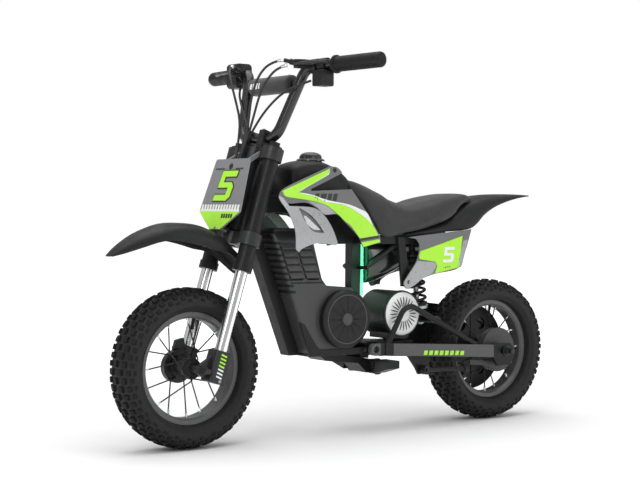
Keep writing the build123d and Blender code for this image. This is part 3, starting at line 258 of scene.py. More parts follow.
def mesh_object(name, verts, faces, degrees=38.0):
    mesh = bpy.data.meshes.new(name)
    mesh.from_pydata([tuple(v) for v in verts], [], faces)
    mesh.validate()
    bm = bmesh.new()
    bm.from_mesh(mesh)
    bmesh.ops.recalc_face_normals(bm, faces=bm.faces)
    bm.to_mesh(mesh)
    bm.free()
    sharpen(mesh, degrees)
    obj = bpy.data.objects.new(name, mesh)
    bpy.context.scene.collection.objects.link(obj)
    return obj


def joined(name, chunks, degrees=38.0):
    """One mesh from several (verts, faces) chunks."""
    verts, faces = [], []
    for chunk_verts, chunk_faces in chunks:
        base = len(verts)
        verts.extend(chunk_verts)
        faces.extend([tuple(base + i for i in face) for face in chunk_faces])
    return mesh_object(name, verts, faces, degrees)


def apply_modifiers(obj):
    graph = bpy.context.evaluated_depsgraph_get()
    graph.update()
    mesh = bpy.data.meshes.new_from_object(obj.evaluated_get(graph))
    obj.modifiers.clear()
    obj.data = mesh
    return obj


def axes_along(direction, hint=(0, 0, 1)):
    """Two unit vectors square to a direction."""
    along = Vector(direction).normalized()
    side = Vector(hint).cross(along)
    if side.length < 1e-4:
        side = Vector((0, 1, 0)).cross(along)
    side.normalize()
    return along, side, along.cross(side)


def lathe(origin, direction, profile, segments, closed=True):
    """Chunk (verts, faces) turned about an axis from a profile of (distance along, radius)."""
    along, side, other = axes_along(direction)
    verts, faces = [], []
    count = len(profile)
    for step in range(segments):
        angle = 2 * math.pi * step / segments
        out = side * math.cos(angle) + other * math.sin(angle)
        for distance, radius in profile:
            verts.append(Vector(origin) + along * distance + out * max(radius, 1e-5))
    last = count if closed else count - 1
    for step in range(segments):
        nxt = (step + 1) % segments
        for i in range(last):
            j = (i + 1) % count
            faces.append((step * count + i, nxt * count + i, nxt * count + j, step * count + j))
    return verts, faces


def turned(at, direction, profile, segments, closed=False):
    """Lathe with its place, distances and radii in millimetres."""
    return lathe(Vector(at) * MM, direction, [(d * MM, r * MM) for d, r in profile], segments, closed)


def circle(u, v, radius, count=24):
    turns = [2 * math.pi * k / count for k in range(count)]
    return [(u + radius * math.cos(a), v + radius * math.sin(a)) for a in turns]


def smooth_line(points, per_run=8, closed=False):
    """Catmull-Rom line through points."""
    pts = [Vector(p) for p in points]
    line = []
    total = len(pts)
    runs = total if closed else total - 1
    for i in range(runs):
        a = pts[(i - 1) % total] if closed or i > 0 else pts[0] * 2 - pts[1]
        b, c = pts[i], pts[(i + 1) % total]
        d = pts[(i + 2) % total] if closed or i + 2 < total else pts[-1] * 2 - pts[-2]
        for k in range(per_run):
            t = k / per_run
            line.append(0.5 * ((2 * b) + (c - a) * t + (2 * a - 5 * b + 4 * c - d) * t * t
                               + (3 * b - a - 3 * c + d) * t ** 3))
    if not closed:
        line.append(pts[-1])
    return line


def tube(line, radius, segments=16, flat=1.0, hint=(0, 0, 1)):
    """Chunk swept along a line; radius is a number or a function of 0 to 1, flat squeezes it."""
    verts, faces = [], []
    total = len(line)
    for i, point in enumerate(line):
        ahead = line[min(i + 1, total - 1)] - line[max(i - 1, 0)]
        along, side, other = axes_along(ahead, hint)
        r = radius(i / (total - 1)) if callable(radius) else radius
        for k in range(segments):
            angle = 2 * math.pi * k / segments
            verts.append(Vector(point) + side * (r * math.cos(angle)) + other * (r * flat * math.sin(angle)))
    for i in range(total - 1):
        for k in range(segments):
            n = (k + 1) % segments
            faces.append((i * segments + k, i * segments + n, (i + 1) * segments + n, (i + 1) * segments + k))
    faces.append(tuple(range(segments - 1, -1, -1)))
    faces.append(tuple((total - 1) * segments + k for k in range(segments)))
    return verts, faces


def slab(corners, thickness_vector):
    """Chunk: a polygon pushed along a vector."""
    n = len(corners)
    verts = [Vector(c) for c in corners] + [Vector(c) + Vector(thickness_vector) for c in corners]
    faces = [tuple(range(n - 1, -1, -1)), tuple(range(n, 2 * n))]
    faces += [(i, (i + 1) % n, n + (i + 1) % n, n + i) for i in range(n)]
    return verts, faces


def outline(points):
    """Closed outline in millimetres. Runs of plain points are curves; a point marked 'c' is a corner."""
    corners = [i for i, p in enumerate(points) if len(p) == 3]
    if not corners:
        return [v.to_tuple()[:2] for v in smooth_line([(x, y, 0) for x, y in points], 6, closed=True)]
    order = points[corners[0]:] + points[:corners[0]]
    order.append(order[0])
    loop, run = [], [order[0]]
    for p in order[1:]:
        run.append(p)
        if len(p) == 3:
            if len(run) == 2:
                loop.append(run[0][:2])
            else:
                loop.extend([v.to_tuple()[:2] for v in smooth_line([(q[0], q[1], 0) for q in run], 6)[:-1]])
            run = [p]
    return loop


def follow_skin(mesh, skin):
    """Shade a sheet's two broad faces by the surface it lies on, however its triangles fall."""
    normals = [Vector(corner.vector) for corner in mesh.corner_normals]
    for face in mesh.polygons:
        for corner in face.loop_indices:
            lean = skin[mesh.loops[corner].vertex_index]
            facing = face.normal.dot(lean)
            if abs(facing) > 0.8:
                normals[corner] = lean.copy() if facing > 0 else -lean
            elif face.area < SLIVER_M2:
                normals[corner] = lean.copy() if normals[corner].dot(lean) > 0 else -lean
    mesh.normals_split_custom_set(normals)


def panel(name, loops, surface, thick, edge=0.0, cell=6.0, grow=0.0, degrees=50.0):
    """A sheet cut to an outline in millimetres and wrapped on surface(u, v) -> (point, normal)."""
    curve = bpy.data.curves.new(name, "CURVE")
    curve.dimensions = "2D"
    curve.fill_mode = "BOTH"
    curve.extrude = max(thick / 2 - edge, 0.0001)
    curve.bevel_depth = edge
    curve.bevel_resolution = 1
    curve.offset = grow - edge
    for loop in loops:
        spline = curve.splines.new("POLY")
        spline.points.add(len(loop) - 1)
        for point, (u, v) in zip(spline.points, loop):
            point.co = (u, v, 0, 1)
        spline.use_cyclic_u = True
    holder = bpy.data.objects.new(name + "_flat", curve)
    bpy.context.scene.collection.objects.link(holder)
    graph = bpy.context.evaluated_depsgraph_get()
    mesh = bpy.data.meshes.new_from_object(holder.evaluated_get(graph))
    bpy.data.objects.remove(holder)
    bm = bmesh.new()
    bm.from_mesh(mesh)
    bmesh.ops.remove_doubles(bm, verts=bm.verts, dist=0.002)
    for axis in (0, 1):
        low = min(v.co[axis] for v in bm.verts)
        high = max(v.co[axis] for v in bm.verts)
        for k in range(1, int((high - low) / cell) + 1):
            at = [0.0, 0.0, 0.0]
            at[axis] = low + k * cell
            normal = [0.0, 0.0, 0.0]
            normal[axis] = 1.0
            bmesh.ops.bisect_plane(bm, geom=bm.verts[:] + bm.edges[:] + bm.faces[:], plane_co=at,
                                   plane_no=normal)
    bmesh.ops.remove_doubles(bm, verts=bm.verts, dist=min(0.12, edge * 0.2 + 0.05))
    bmesh.ops.dissolve_degenerate(bm, edges=bm.edges, dist=0.02)
    bmesh.ops.triangulate(bm, faces=bm.faces[:], quad_method="BEAUTY", ngon_method="BEAUTY")
    skin = []
    for vert in bm.verts:
        point, normal = surface(vert.co.x, vert.co.y)
        skin.append(Vector(normal).normalized())
        vert.co = (Vector(point) + Vector(normal) * (vert.co.z + thick / 2)) * MM
    bmesh.ops.recalc_face_normals(bm, faces=bm.faces)
    bm.to_mesh(mesh)
    bm.free()
    sharpen(mesh, degrees)
    follow_skin(mesh, skin)
    mesh.name = name
    obj = bpy.data.objects.new(name, mesh)
    bpy.context.scene.collection.objects.link(obj)
    return obj


def through(points):
    """Quadratic through three (x, y) points."""
    (x1, y1), (x2, y2), (x3, y3) = points

    def value(x):
        return (y1 * (x - x2) * (x - x3) / ((x1 - x2) * (x1 - x3))
                + y2 * (x - x1) * (x - x3) / ((x2 - x1) * (x2 - x3))
                + y3 * (x - x1) * (x - x2) / ((x3 - x1) * (x3 - x2)))
    return value


def flat_side(sign, depth):
    """A flat upright surface on one side of the bike."""
    def surface(x, z):
        return (x, sign * depth, z), (0, sign, 0)
    return surface


def side_surface(bow, middle_z, crown, sign, lift=0.0):
    """Surface for a panel on the bike's side: u is x, v is z; crown pulls its top and bottom inwards."""
    def depth(x, z):
        return bow(x) - crown * ((z - middle_z) / 80.0) ** 2

    def surface(x, z):
        slope_x = (depth(x + 1, z) - depth(x - 1, z)) / 2
        slope_z = (depth(x, z + 1) - depth(x, z - 1)) / 2
        normal = Vector((-slope_x, 1, -slope_z)).normalized()
        point = Vector((x, depth(x, z), z)) + normal * lift
        return (point.x, sign * point.y, point.z), (normal.x, sign * normal.y, normal.z)
    return surface


# ---------------------------------------------------------------- wheels
CROWN = 2 / 2.4  # power of the section, a little squarer than an ellipse


def super_point(phi, half, tall):
    """A point on the tread's rounded section, phi round from its crown."""
    s, c = math.sin(phi), math.cos(phi)
    return half * math.copysign(abs(s) ** CROWN, s), tall * abs(c) ** CROWN


TYRE_MIDDLE = 131.0
KNOB_ROWS = 60
KNOB_LAYOUTS = (  # degrees round the tread's section, width, length
    [(-80, 4.6, 8.6), (-52, 8.6, 9.6), (-17, 10.4, 11.5), (17, 10.4, 11.5), (52, 8.6, 9.6), (80, 4.6, 8.6)],
    [(-66, 7.6, 9.0), (-33, 9.6, 10.5), (0, 9.6, 11.5), (33, 9.6, 10.5), (66, 7.6, 9.0)],
)
TREAD_LIMIT = 159.9  # knobs end just inside the tyre's outer radius


def tyre(name, centre, body, node, seed):
    """Carcass with a ridged sidewall, and staggered knobs from shoulder to shoulder."""
    rng = random.Random(seed)
    half = [(40.4, 131), (39.6, 124.5), (38.4, 123.2), (37.6, 122.2), (35.2, 119.2), (32.2, 117.4),
            (31.2, 115.6), (27.5, 113.9), (23.0, 112.4), (20.2, 112.2), (17.2, 111.6), (16.4, 106.4)]
    crown = [super_point(math.radians(a), 40.4, 24.0) for a in range(-84, 85, 7)]
    outer = [(y, TYRE_MIDDLE + z) for y, z in crown]
    profile = [(-y, r) for y, r in reversed(half)] + outer + half
    profile += [(12.5, 106.4), (13, 114), (24, 120), (34, 128), (33, 139), (27, 146), (0, 150),
                (-27, 146), (-33, 139), (-34, 128), (-24, 120), (-13, 114), (-12.5, 106.4)]
    chunks = [lathe(centre, (0, 1, 0), [(y * MM, r * MM) for y, r in profile], 120)]
    for row in range(KNOB_ROWS):
        turn = 2 * math.pi * row / KNOB_ROWS
        for degrees, wide, long in KNOB_LAYOUTS[row % 2]:
            phi = math.radians(degrees)
            low_y, low_z = super_point(phi, 39.6, 22.6)
            top_y, top_z = super_point(phi, 41.9, 28.8)
            lean_y, lean_z = super_point(phi + 0.02, 40.4, 24.0)
            base_y, base_z = super_point(phi - 0.02, 40.4, 24.0)
            across = Vector((lean_y - base_y, lean_z - base_z)).normalized()
            verts = []
            for level_y, level_z, scale in ((low_y, low_z, 1.1), (top_y, top_z, 0.95)):
                for corner_w, corner_l in ((-1, -1), (1, -1), (1, 1), (-1, 1)):
                    jitter = 1 + rng.uniform(-0.03, 0.03)
                    y = level_y + across.x * corner_w * wide / 2 * scale * jitter
                    r = TYRE_MIDDLE + level_z + across.y * corner_w * wide / 2 * scale
                    r = min(r, TREAD_LIMIT)
                    swing = turn + corner_l * long / 2 * scale / 150.0
                    verts.append(Vector(centre) + Vector((math.cos(swing) * r, y, math.sin(swing) * r)) * MM)
            chunks.append((verts, [(0, 1, 5, 4), (1, 2, 6, 5), (2, 3, 7, 6), (3, 0, 4, 7), (4, 5, 6, 7)]))
    place(joined(name, chunks[:1], 32), body, "tyre_rubber", hides=(node,))
    place(joined(name + "_tread", chunks[1:], 32), body, "tread_rubber")


SPOKE_HEAD = [(-0.8, 0), (-0.8, 1.2), (0.6, 2.1), (1.4, 1.4), (1.5, 0)]
NIPPLE = [(0, 1.2), (0, 1.9), (2, 2.2), (8, 2.3), (9, 3.1), (11.6, 3.1), (11.6, 0.5)]
VALVE = [(0, 0), (0, 4.2), (2, 3.6), (13, 2.8), (14, 3.6), (22, 3.4), (23, 2.4), (23, 0)]


def spokes(name, centre, body, node):
    """Spokes laced as in the frame, each with a bent head in its flange and a plated nipple at the rim."""
    wires, nipples = [], []
    for sign in (1, -1):
        for index in range(8):
            turn = 1 if index % 2 == 0 else -1
            hub_angle = math.radians(45.0 * index + (0 if sign > 0 else 22.5))
            rim_angle = hub_angle + math.radians(45.0) * turn
            around = (math.cos(hub_angle), math.sin(hub_angle))
            hub = Vector(centre) + Vector((around[0] * 23.4, sign * (22 + 2.7 * turn), around[1] * 23.4)) * MM
            rim = Vector(centre) + Vector((math.cos(rim_angle) * 98.6, sign * 4.0,
                                           math.sin(rim_angle) * 98.6)) * MM
            seat = Vector(centre) + Vector((around[0] * 18.6, sign * (22 + 1.9 * turn),
                                            around[1] * 18.6)) * MM
            line = [seat, seat.lerp(hub, 0.5), hub, hub.lerp(rim, 0.5), rim]
            wires.append(tube(line, 1.4 * MM, 8))
            wires.append(turned(seat / MM, seat - hub, SPOKE_HEAD, 10))
            lean = (rim - hub).normalized()
            nipples.append(turned(rim / MM - lean * 11, lean, NIPPLE, 8, closed=True))
    place(joined(name, wires), body, "spoke_steel", hides=(node,))
    place(joined(name + "_nipples", nipples), body, "nipple")


def valve_stem(name, centre, body):
    angle = math.radians(101)
    out = Vector((math.cos(angle), 0, math.sin(angle)))
    foot = Vector(centre) / MM + out * 99.2 + Vector((0, -1.5, 0))
    place(joined(name, [turned(foot, -out, VALVE, 14, closed=True)]), body, "soft_rubber")


for end, seed in (("front", 3), ("rear", 8)):
    hub_at = Vector(joints[f"{end}_wheel_spin"]["pos_m"])
    wheel_body = f"{end}_wheel"
    tyre(f"{end}_knobbly_tyre", hub_at, wheel_body, f"{end}_tyre", seed)
    spokes(f"{end}_spoke_set", hub_at, wheel_body, f"{end}_spokes")
    valve_stem(f"{end}_valve", hub_at, wheel_body)

# ---------------------------------------------------------------- steering frame
steer_joint = joints["steering_turn"]
UP = Vector(steer_joint["axis"]).normalized()
AHEAD = Vector((UP.z, 0, -UP.x))
FOOT = Vector(steer_joint["pos_m"]) / MM


def steer(ahead, y, height):
    """Point in millimetres, from distances ahead of the steering axis, to the left and up the axis."""
    return FOOT + AHEAD * ahead + Vector((0, y, 0)) + UP * height


# ---------------------------------------------------------------- mudguards
def dense(stations, per_run=5):
    """Catmull-Rom between rows of numbers."""
    rows = []
    for i in range(len(stations) - 1):
        a = stations[max(i - 1, 0)]
        b, c = stations[i], stations[i + 1]
        d = stations[min(i + 2, len(stations) - 1)]
        for k in range(per_run):
            t = k / per_run
            rows.append([0.5 * (2 * q + (r - p) * t + (2 * p - 5 * q + 4 * r - s) * t * t
                                + (3 * q - p - 3 * r + s) * t ** 3) for p, q, r, s in zip(a, b, c, d)])
    rows.append(list(stations[-1]))
    return rows


def mudguard(name, stations, body, node, ridge):
    """A thin shell; each row is crown x, z, edge x, z, half-width."""
    verts, faces = [], []
    across = 28
    rows = dense(stations)
    for tx, tz, ex, ez, half in rows:
        for k in range(across + 1):
            a = -math.pi / 2 + math.pi * k / across
            y = half * math.copysign(abs(math.sin(a)) ** 0.8, math.sin(a))
            lift = abs(math.cos(a)) ** 0.72
            lift *= 1.0 - ridge * math.exp(-((abs(y) / half - 0.62) / 0.07) ** 2)
            verts.append(Vector((ex + (tx - ex) * lift, y, ez + (tz - ez) * lift)) * MM)
    wide = across + 1
    for i in range(len(rows) - 1):
        for k in range(across):
            faces.append((i * wide + k, i * wide + k + 1, (i + 1) * wide + k + 1, (i + 1) * wide + k))
    obj = mesh_object(name, verts, faces, 60)
    bm = bmesh.new()
    bm.from_mesh(obj.data)
    if sum(face.normal.z for face in bm.faces) < 0:
        bmesh.ops.reverse_faces(bm, faces=bm.faces)
    bm.to_mesh(obj.data)
    bm.free()
    solid = obj.modifiers.new("wall", "SOLIDIFY")
    solid.thickness = 2.4 * MM
    solid.offset = -1
    rounded = obj.modifiers.new("lip", "BEVEL")
    rounded.width = 0.9 * MM
    rounded.segments = 2
    rounded.limit_method = "ANGLE"
    rounded.angle_limit = math.radians(50)
    apply_modifiers(obj)
    sharpen(obj.data, 55)
    return place(obj, body, "black_plastic", hides=(node,))


mudguard("front_fender", [
    (571, 384, 564, 382, 11), (550, 402, 543, 388, 21), (516, 423, 510, 399, 32.5), (482, 437, 478, 409, 39),
    (449, 446, 449, 413, 42), (415, 447, 418, 410, 42.3), (380, 444, 385, 403, 42.3),
    (348, 434, 352, 394, 42.3),
    (318, 417, 322, 388, 41), (300, 400, 300, 375, 39), (282, 385, 282, 360, 34.5),
    (266, 366, 270, 348, 28.5), (258, 346, 261, 339, 15),
], "steering", "front_mudguard", 0.06)
mudguard("rear_fender", [
    (-543, 513.5, -541, 511, 10), (-500, 515, -497, 506, 20), (-450, 515, -446, 496, 30),
    (-405, 513.5, -399, 482.5, 40),
    (-370, 510.5, -364, 466, 47), (-345, 506.5, -341, 449, 51.5), (-318, 501, -318, 437, 55),
    (-290, 487, -291, 432.6, 57),
    (-255, 463, -258, 430, 57.2), (-220, 450, -220, 428, 57), (-170, 438, -170, 425, 56.8),
    (-125, 428, -125, 421, 56),
], "frame", "rear_mudguard", 0.03)

# ---------------------------------------------------------------- tank shell
TANK = [
    # x, top, bottom, half-width, shoulder share
    (13.5, 544, 505, 36, 0.80), (25, 551.5, 496, 41, 0.80), (45, 563.5, 478, 45, 0.78),
    (70, 573.8, 466, 46, 0.76),
    (95, 578.4, 463, 46, 0.76), (125, 576.4, 463, 46, 0.77), (148, 571, 468, 45.5, 0.78),
    (160, 565.5, 490, 43.5, 0.8), (165.5, 560, 503, 40, 0.8),
]


def ring_of(half, top, bottom, share):
    """Left half of a rounded section, from the top's middle to the bottom's middle, then mirrored."""
    left = [(0, top), (half * 0.4, top - 0.6), (half * share, top - 5), (half * 0.93, top - 14),
            (half, top - 34),
            (half, (top + bottom) / 2 - 8), (half * 0.985, bottom + 5), (half * 0.94, bottom),
            (0, bottom + 1)]
    line = [(v.x, v.y) for v in smooth_line([(y, z, 0) for y, z in left], 4)]
    return line + [(-y, z) for y, z in reversed(line[1:-1])]


def loft(rings):
    """Chunk through rings of equal length, with flat ends."""
    verts = [v for ring in rings for v in ring]
    n = len(rings[0])
    faces = [(i * n + k, i * n + (k + 1) % n, (i + 1) * n + (k + 1) % n, (i + 1) * n + k)
             for i in range(len(rings) - 1) for k in range(n)]
    faces.append(tuple(range(n - 1, -1, -1)))
    faces.append(tuple((len(rings) - 1) * n + k for k in range(n)))
    return verts, faces


def tank_shell():
    rings = []
    for x, top, bottom, half, share in dense(TANK, 4):
        rings.append([Vector((x, y, z)) * MM for y, z in ring_of(half, top, bottom, share)])
    obj = joined("tank_shell", [loft(rings)], 40)
    rounded = obj.modifiers.new("edge", "BEVEL")
    rounded.width = 3.5 * MM
    rounded.segments = 3
    rounded.limit_method = "ANGLE"
    rounded.angle_limit = math.radians(50)
    apply_modifiers(obj)
    sharpen(obj.data, 45)
    return place(obj, "frame", "black_plastic", hides=("tank_cover",))


tank_shell()
neck = turned((90, 0, 576.5), (0, 0, 1), [(0, 0), (0, 30), (3, 29.5), (5, 27), (5.8, 0)], 40, closed=True)
place(joined("tank_neck", [neck]), "frame", "gloss_black")

# ---------------------------------------------------------------- seat
SEAT = [
    # x, top, bottom, half-width
    (18, 544, 509, 36), (0, 540, 493, 45), (-20, 533, 468, 51), (-40, 525, 438, 56), (-56, 518, 418, 60),
    (-75, 510, 412, 63.5), (-100, 497.5, 416, 66), (-135, 488, 424, 69), (-165, 490.5, 431, 70.5),
    (-200, 499, 440, 70.5),
    (-235, 506, 450, 69), (-265, 510.5, 464, 65.5), (-290, 513, 485, 61), (-315, 513, 498, 54),
    (-334, 509.5, 500, 43), (-348, 503.5, 498.5, 26),
]


def underside(x):
    """Height of the hollow that the seat's base leaves over the frame."""
    if x > 20:
        return 504.0
    if x > -30:
        return 486 + (x + 30) * 18 / 50
    if x > -118:
        return 444 + (x + 118) * 42 / 88
    return 0.0


def seat_ring(x, top, bottom, half, shrink):
    top, half = top - shrink, half - shrink
    bottom = bottom + shrink
    depth = top - bottom
    inner = min(50.0, half * 0.78)
    hollow = min(max(underside(x), bottom), top - 14)
    left = [(0, top), (half * 0.45, top - 0.012 * depth), (half * 0.74, top - 0.06 * depth),
            (half * 0.9, top - 0.2 * depth),
            (half * 0.985, top - 0.48 * depth), (half, top - 0.72 * depth),
            (half * 0.985, bottom + 0.06 * depth),
            (half * 0.93, bottom), (inner, bottom), (inner, hollow), (0, hollow)]
    line = [(v.x, v.y) for v in smooth_line([(y, z, 0) for y, z in left[:8]], 5)] + left[8:]
    return line + [(-y, z) for y, z in reversed(line[1:-1])]


SWELL_LIMIT = 3.4 * MM  # how far the stuffing may push the cover out
VOXEL = 4.5 * MM


def seat_cushion():
    """The saddle's core, remeshed, stuffed by cloth pressure and smoothed."""
    rings = []
    for x, top, bottom, half in dense(SEAT, 4):
        rings.append([Vector((x, y, z)) * MM for y, z in seat_ring(x, top, max(min(bottom, top - 6), 0), half,
                                                                   2.2)])
    rings[0] = [v + Vector((-0.0018, 0, 0)) for v in rings[0]]
    rings[-1] = [v + Vector((0.002, 0, 0)) for v in rings[-1]]
    block = joined("saddle_core", [loft(rings)], 60)
    remesh = block.modifiers.new("voxels", "REMESH")
    remesh.mode = "VOXEL"
    remesh.voxel_size = VOXEL
    apply_modifiers(block)
    before = [v.co.copy() for v in block.data.vertices]
    cloth = block.modifiers.new("stuffing", "CLOTH")
    settings = cloth.settings
    settings.use_pressure = True
    settings.uniform_pressure_force = 4.0
    settings.effector_weights.gravity = 0.0
    settings.quality = 6
    settings.mass = 0.3
    settings.tension_stiffness = 18
    settings.compression_stiffness = 18
    settings.shear_stiffness = 8
    settings.bending_stiffness = 0.6
    cloth.collision_settings.use_collision = False
    cloth.collision_settings.use_self_collision = False
    scene = bpy.context.scene
    for step in range(1, 21):
        scene.frame_set(step)
    graph = bpy.context.evaluated_depsgraph_get()
    swollen = bpy.data.meshes.new_from_object(block.evaluated_get(graph))
    block.modifiers.clear()
    block.data = swollen
    for vert, rest in zip(swollen.vertices, before):
        move = vert.co - rest
        if move.length > SWELL_LIMIT:
            vert.co = rest + move * (SWELL_LIMIT / move.length)
    scene.frame_set(1)
    smooth = block.modifiers.new("ease", "SMOOTH")
    smooth.factor = 0.5
    smooth.iterations = 5
    finer = block.modifiers.new("finer", "SUBSURF")
    finer.levels = finer.render_levels = 1
    apply_modifiers(block)
    for polygon in block.data.polygons:
        polygon.use_smooth = True
    block.name = "saddle"
    place(block, "frame", "seat_cover", hides=("seat_cushion",))


seat_cushion()

# ---------------------------------------------------------------- body panels and their printed sheets
shroud_bow = through([(250, 85.5), (110, 77), (-60, 59)])
scoop_bow = through([(250, 91), (170, 86), (70, 72)])
side_bow = through([(-100, 58), (-215, 65), (-330, 62)])
BASE = 2.6  # wall of a moulded panel
SHEET = 0.8  # thickness of a printed sheet
SHROUD = [(228, 509), (205, 523), (96, 564, "c"), (76, 563), (63, 553), (70, 548), (148, 517, "c"),
          (148, 513, "c"),
          (36, 518, "c"), (-10, 469), (-51, 421, "c"), (-55, 407, "c"), (-3, 397, "c"), (13, 420), (56, 452),
          (78, 466), (112, 465), (134, 479), (162, 489), (211, 487), (228, 500)]
SHROUD_SHEETS = [
    ("lime_plastic", [(222, 510, "c"), (214, 515.5), (96, 560, "c"), (105, 546, "c"), (184, 510, "c")]),
    ("white_plastic", [(96, 557, "c"), (100, 547, "c"), (152, 524), (177, 512, "c"), (184, 510, "c"),
                       (105, 546, "c")]),
    ("lime_plastic", [(222, 510, "c"), (184, 510, "c"), (170, 507), (134, 500), (112, 491), (52, 483),
                      (-2, 459), (-27, 443),
                      (-45, 422, "c"), (9, 416, "c"), (36, 441), (56, 453), (78, 468), (112, 486), (162, 495),
                      (206, 499.5), (218, 503)]),
    ("white_plastic", [(184, 510, "c"), (148, 505.5), (112, 496.5), (80, 491.5), (40, 485.5), (-4, 472, "c"),
                       (-12, 466, "c"), (-27, 443.5, "c"),
                       (-2, 459.5), (52, 483.5), (112, 491.5), (134, 500.5), (170, 507)]),
    ("ink_and_shade", [(9, 415.5, "c"), (-45, 421.5, "c"), (-48, 417, "c"), (6, 411, "c")]),
    ("lime_plastic", [(4, 407.5, "c"), (-49, 414, "c"), (-52.5, 407.8, "c"), (-3.5, 398.2, "c")]),
    ("silver_plastic", [(161, 493.5, "c"), (112, 485), (80, 467.5, "c"), (112, 466.2), (133, 480, "c")]),
]
for x, wide in ((136, 10), (121, 15), (101, 10), (86, 10)):
    SHROUD_SHEETS.append(("ink_and_shade", [(x, 508, "c"), (x - wide, 508, "c"), (x - wide + 5, 493, "c"),
                                  (x + 5, 493, "c")]))
SCOOP = [(234, 503, "c"), (231, 493), (208, 465), (193, 433), (189, 395, "c"), (181, 389, "c"), (170, 397),
         (130, 407),
         (77, 402, "c"), (73, 408, "c"), (89, 436), (113, 463), (144, 479), (208, 482, "c"), (222, 497, "c")]
SCOOP_VENT = [(184, 479, "c"), (172, 474), (150, 463), (124, 441, "c"), (114, 428, "c"), (140, 430),
              (158, 442), (174, 462)]
SCOOP_HIGHLIGHT = [(170, 463, "c"), (163, 462), (148, 452), (122, 433.5, "c"), (142, 435), (160, 445, "c")]
SIDE = [(-127, 417, "c"), (-141, 419, "c"), (-311, 435, "c"), (-277, 352, "c"), (-254, 344), (-201, 337),
        (-167, 327), (-142, 311),
        (-126, 307), (-119, 313), (-120, 325), (-150, 366), (-158, 399), (-149, 414, "c")]
SIDE_SHEETS = [
    ("lime_plastic", [(-156, 376, "c"), (-159.5, 387, "c"), (-281, 420, "c"), (-270, 351, "c"),
                      (-201, 338.5, "c"), (-206, 355), (-201, 364, "c"), (-158.5, 370, "c")]),
    ("silver_plastic", [(-152, 366, "c"), (-199, 363.5, "c"), (-204.5, 357), (-194, 339, "c"), (-167, 328),
                        (-142, 312), (-126, 308), (-120, 313.5), (-121, 325)]),
    ("silver_plastic", [(-283, 409, "c"), (-297, 412, "c"), (-279, 354, "c"), (-265, 351, "c")]),
    ("ink_and_shade", [(-225, 352, "c"), (-243, 354.5, "c"), (-244, 351.5, "c"), (-226, 349, "c")]),
    # This dark disc is painted shade over the screw hole at the panel's lower tip.
    ("ink_and_shade", circle(-130, 321, 4.2, 8)),
]
DIGIT = [(0, 0), (38, 0), (46, 8), (46, 30), (38, 38), (14, 38), (14, 50), (46, 50), (46, 62), (2, 62),
         (2, 27), (32, 27), (32, 12), (0, 12)]


def screw(name, at, along, body, look="dark_alloy", radius=4.6):
    """A domed screw head with a round socket, and a thin washer under it."""
    profile = [(-0.6, 0), (-0.6, radius * 1.35), (0.3, radius * 1.35), (0.6, radius * 1.25), (0.6, radius),
               (1.6, radius * 0.93),
               (2.6, radius * 0.62), (2.6, radius * 0.5), (1.1, radius * 0.45), (1.1, 0)]
    return place(joined(name, [turned(at, along, profile, 24)], 30), body, look)


for sign, word in SIDES:
    surface = side_surface(shroud_bow, 490, 4.0, sign)
    raised_sheet = side_surface(shroud_bow, 490, 4.0, sign, BASE)
    base = panel(f"shroud_panel_{word}", [outline(SHROUD)], surface, BASE, 0.7)
    place(base, "frame", "panel_grey", hides=(f"shroud_{word}",))
    for index, (look, points) in enumerate(SHROUD_SHEETS):
        place(panel(f"shroud_sheet_{word}_{index}", [outline(points)], raised_sheet, SHEET), "frame", look)
    point, normal = raised_sheet(83, 556.5)
    screw(f"shroud_screw_{word}", point, normal, "frame", radius=3.6)

    surface = side_surface(scoop_bow, 445, 5.0, sign)
    base = panel(f"scoop_panel_{word}", [outline(SCOOP), outline(SCOOP_VENT)], surface, BASE, 0.9, degrees=60)
    place(base, "frame", "silver_plastic", hides=("air_scoops",) if sign > 0 else ())
    inner = side_surface(scoop_bow, 445, 5.0, sign, -2.6)
    place(panel(f"scoop_recess_{word}", [outline(SCOOP_VENT)], inner, 1.0, grow=2.0), "frame", "panel_grey")
    # A light sheet low in the vent is a painted highlight along its lip.
    facet = side_surface(scoop_bow, 445, 5.0, sign, -1.5)
    place(panel(f"scoop_facet_{word}", [outline(SCOOP_HIGHLIGHT)], facet, 1.8, 0.5), "frame", "facet")

    surface = side_surface(side_bow, 370, 2.5, sign)
    raised_sheet = side_surface(side_bow, 370, 2.5, sign, BASE)
    base = panel(f"side_panel_{word}", [outline(SIDE), circle(-132, 320, 4)], surface, BASE, 0.7)
    place(base, "frame", "panel_grey", hides=("side_panels",) if sign > 0 else ())
    for index, (look, points) in enumerate(SIDE_SHEETS):
        place(panel(f"side_sheet_{word}_{index}", [outline(points)], raised_sheet, SHEET), "frame", look)
    digit = []
    for x, y in DIGIT:
        along = (x / 46 + 0.16 * y / 62) * 30
        digit.append((-222 - along if sign > 0 else -256 + along, 362 + y * 34 / 62))
    above_sheet = side_surface(side_bow, 370, 2.5, sign, BASE + SHEET)
    place(panel(f"side_digit_{word}", [digit], above_sheet, SHEET), "frame", "white_plastic")
    point, normal = raised_sheet(-132, 320)
    screw(f"side_screw_{word}", Vector(point) - Vector(normal) * 2.2, normal, "frame", "ink_and_shade", 3.4)


# ---------------------------------------------------------------- number plate
def plate_surface(lift):
    def surface(y, w):
        return steer(47.5 + lift, y, w), AHEAD
    return surface


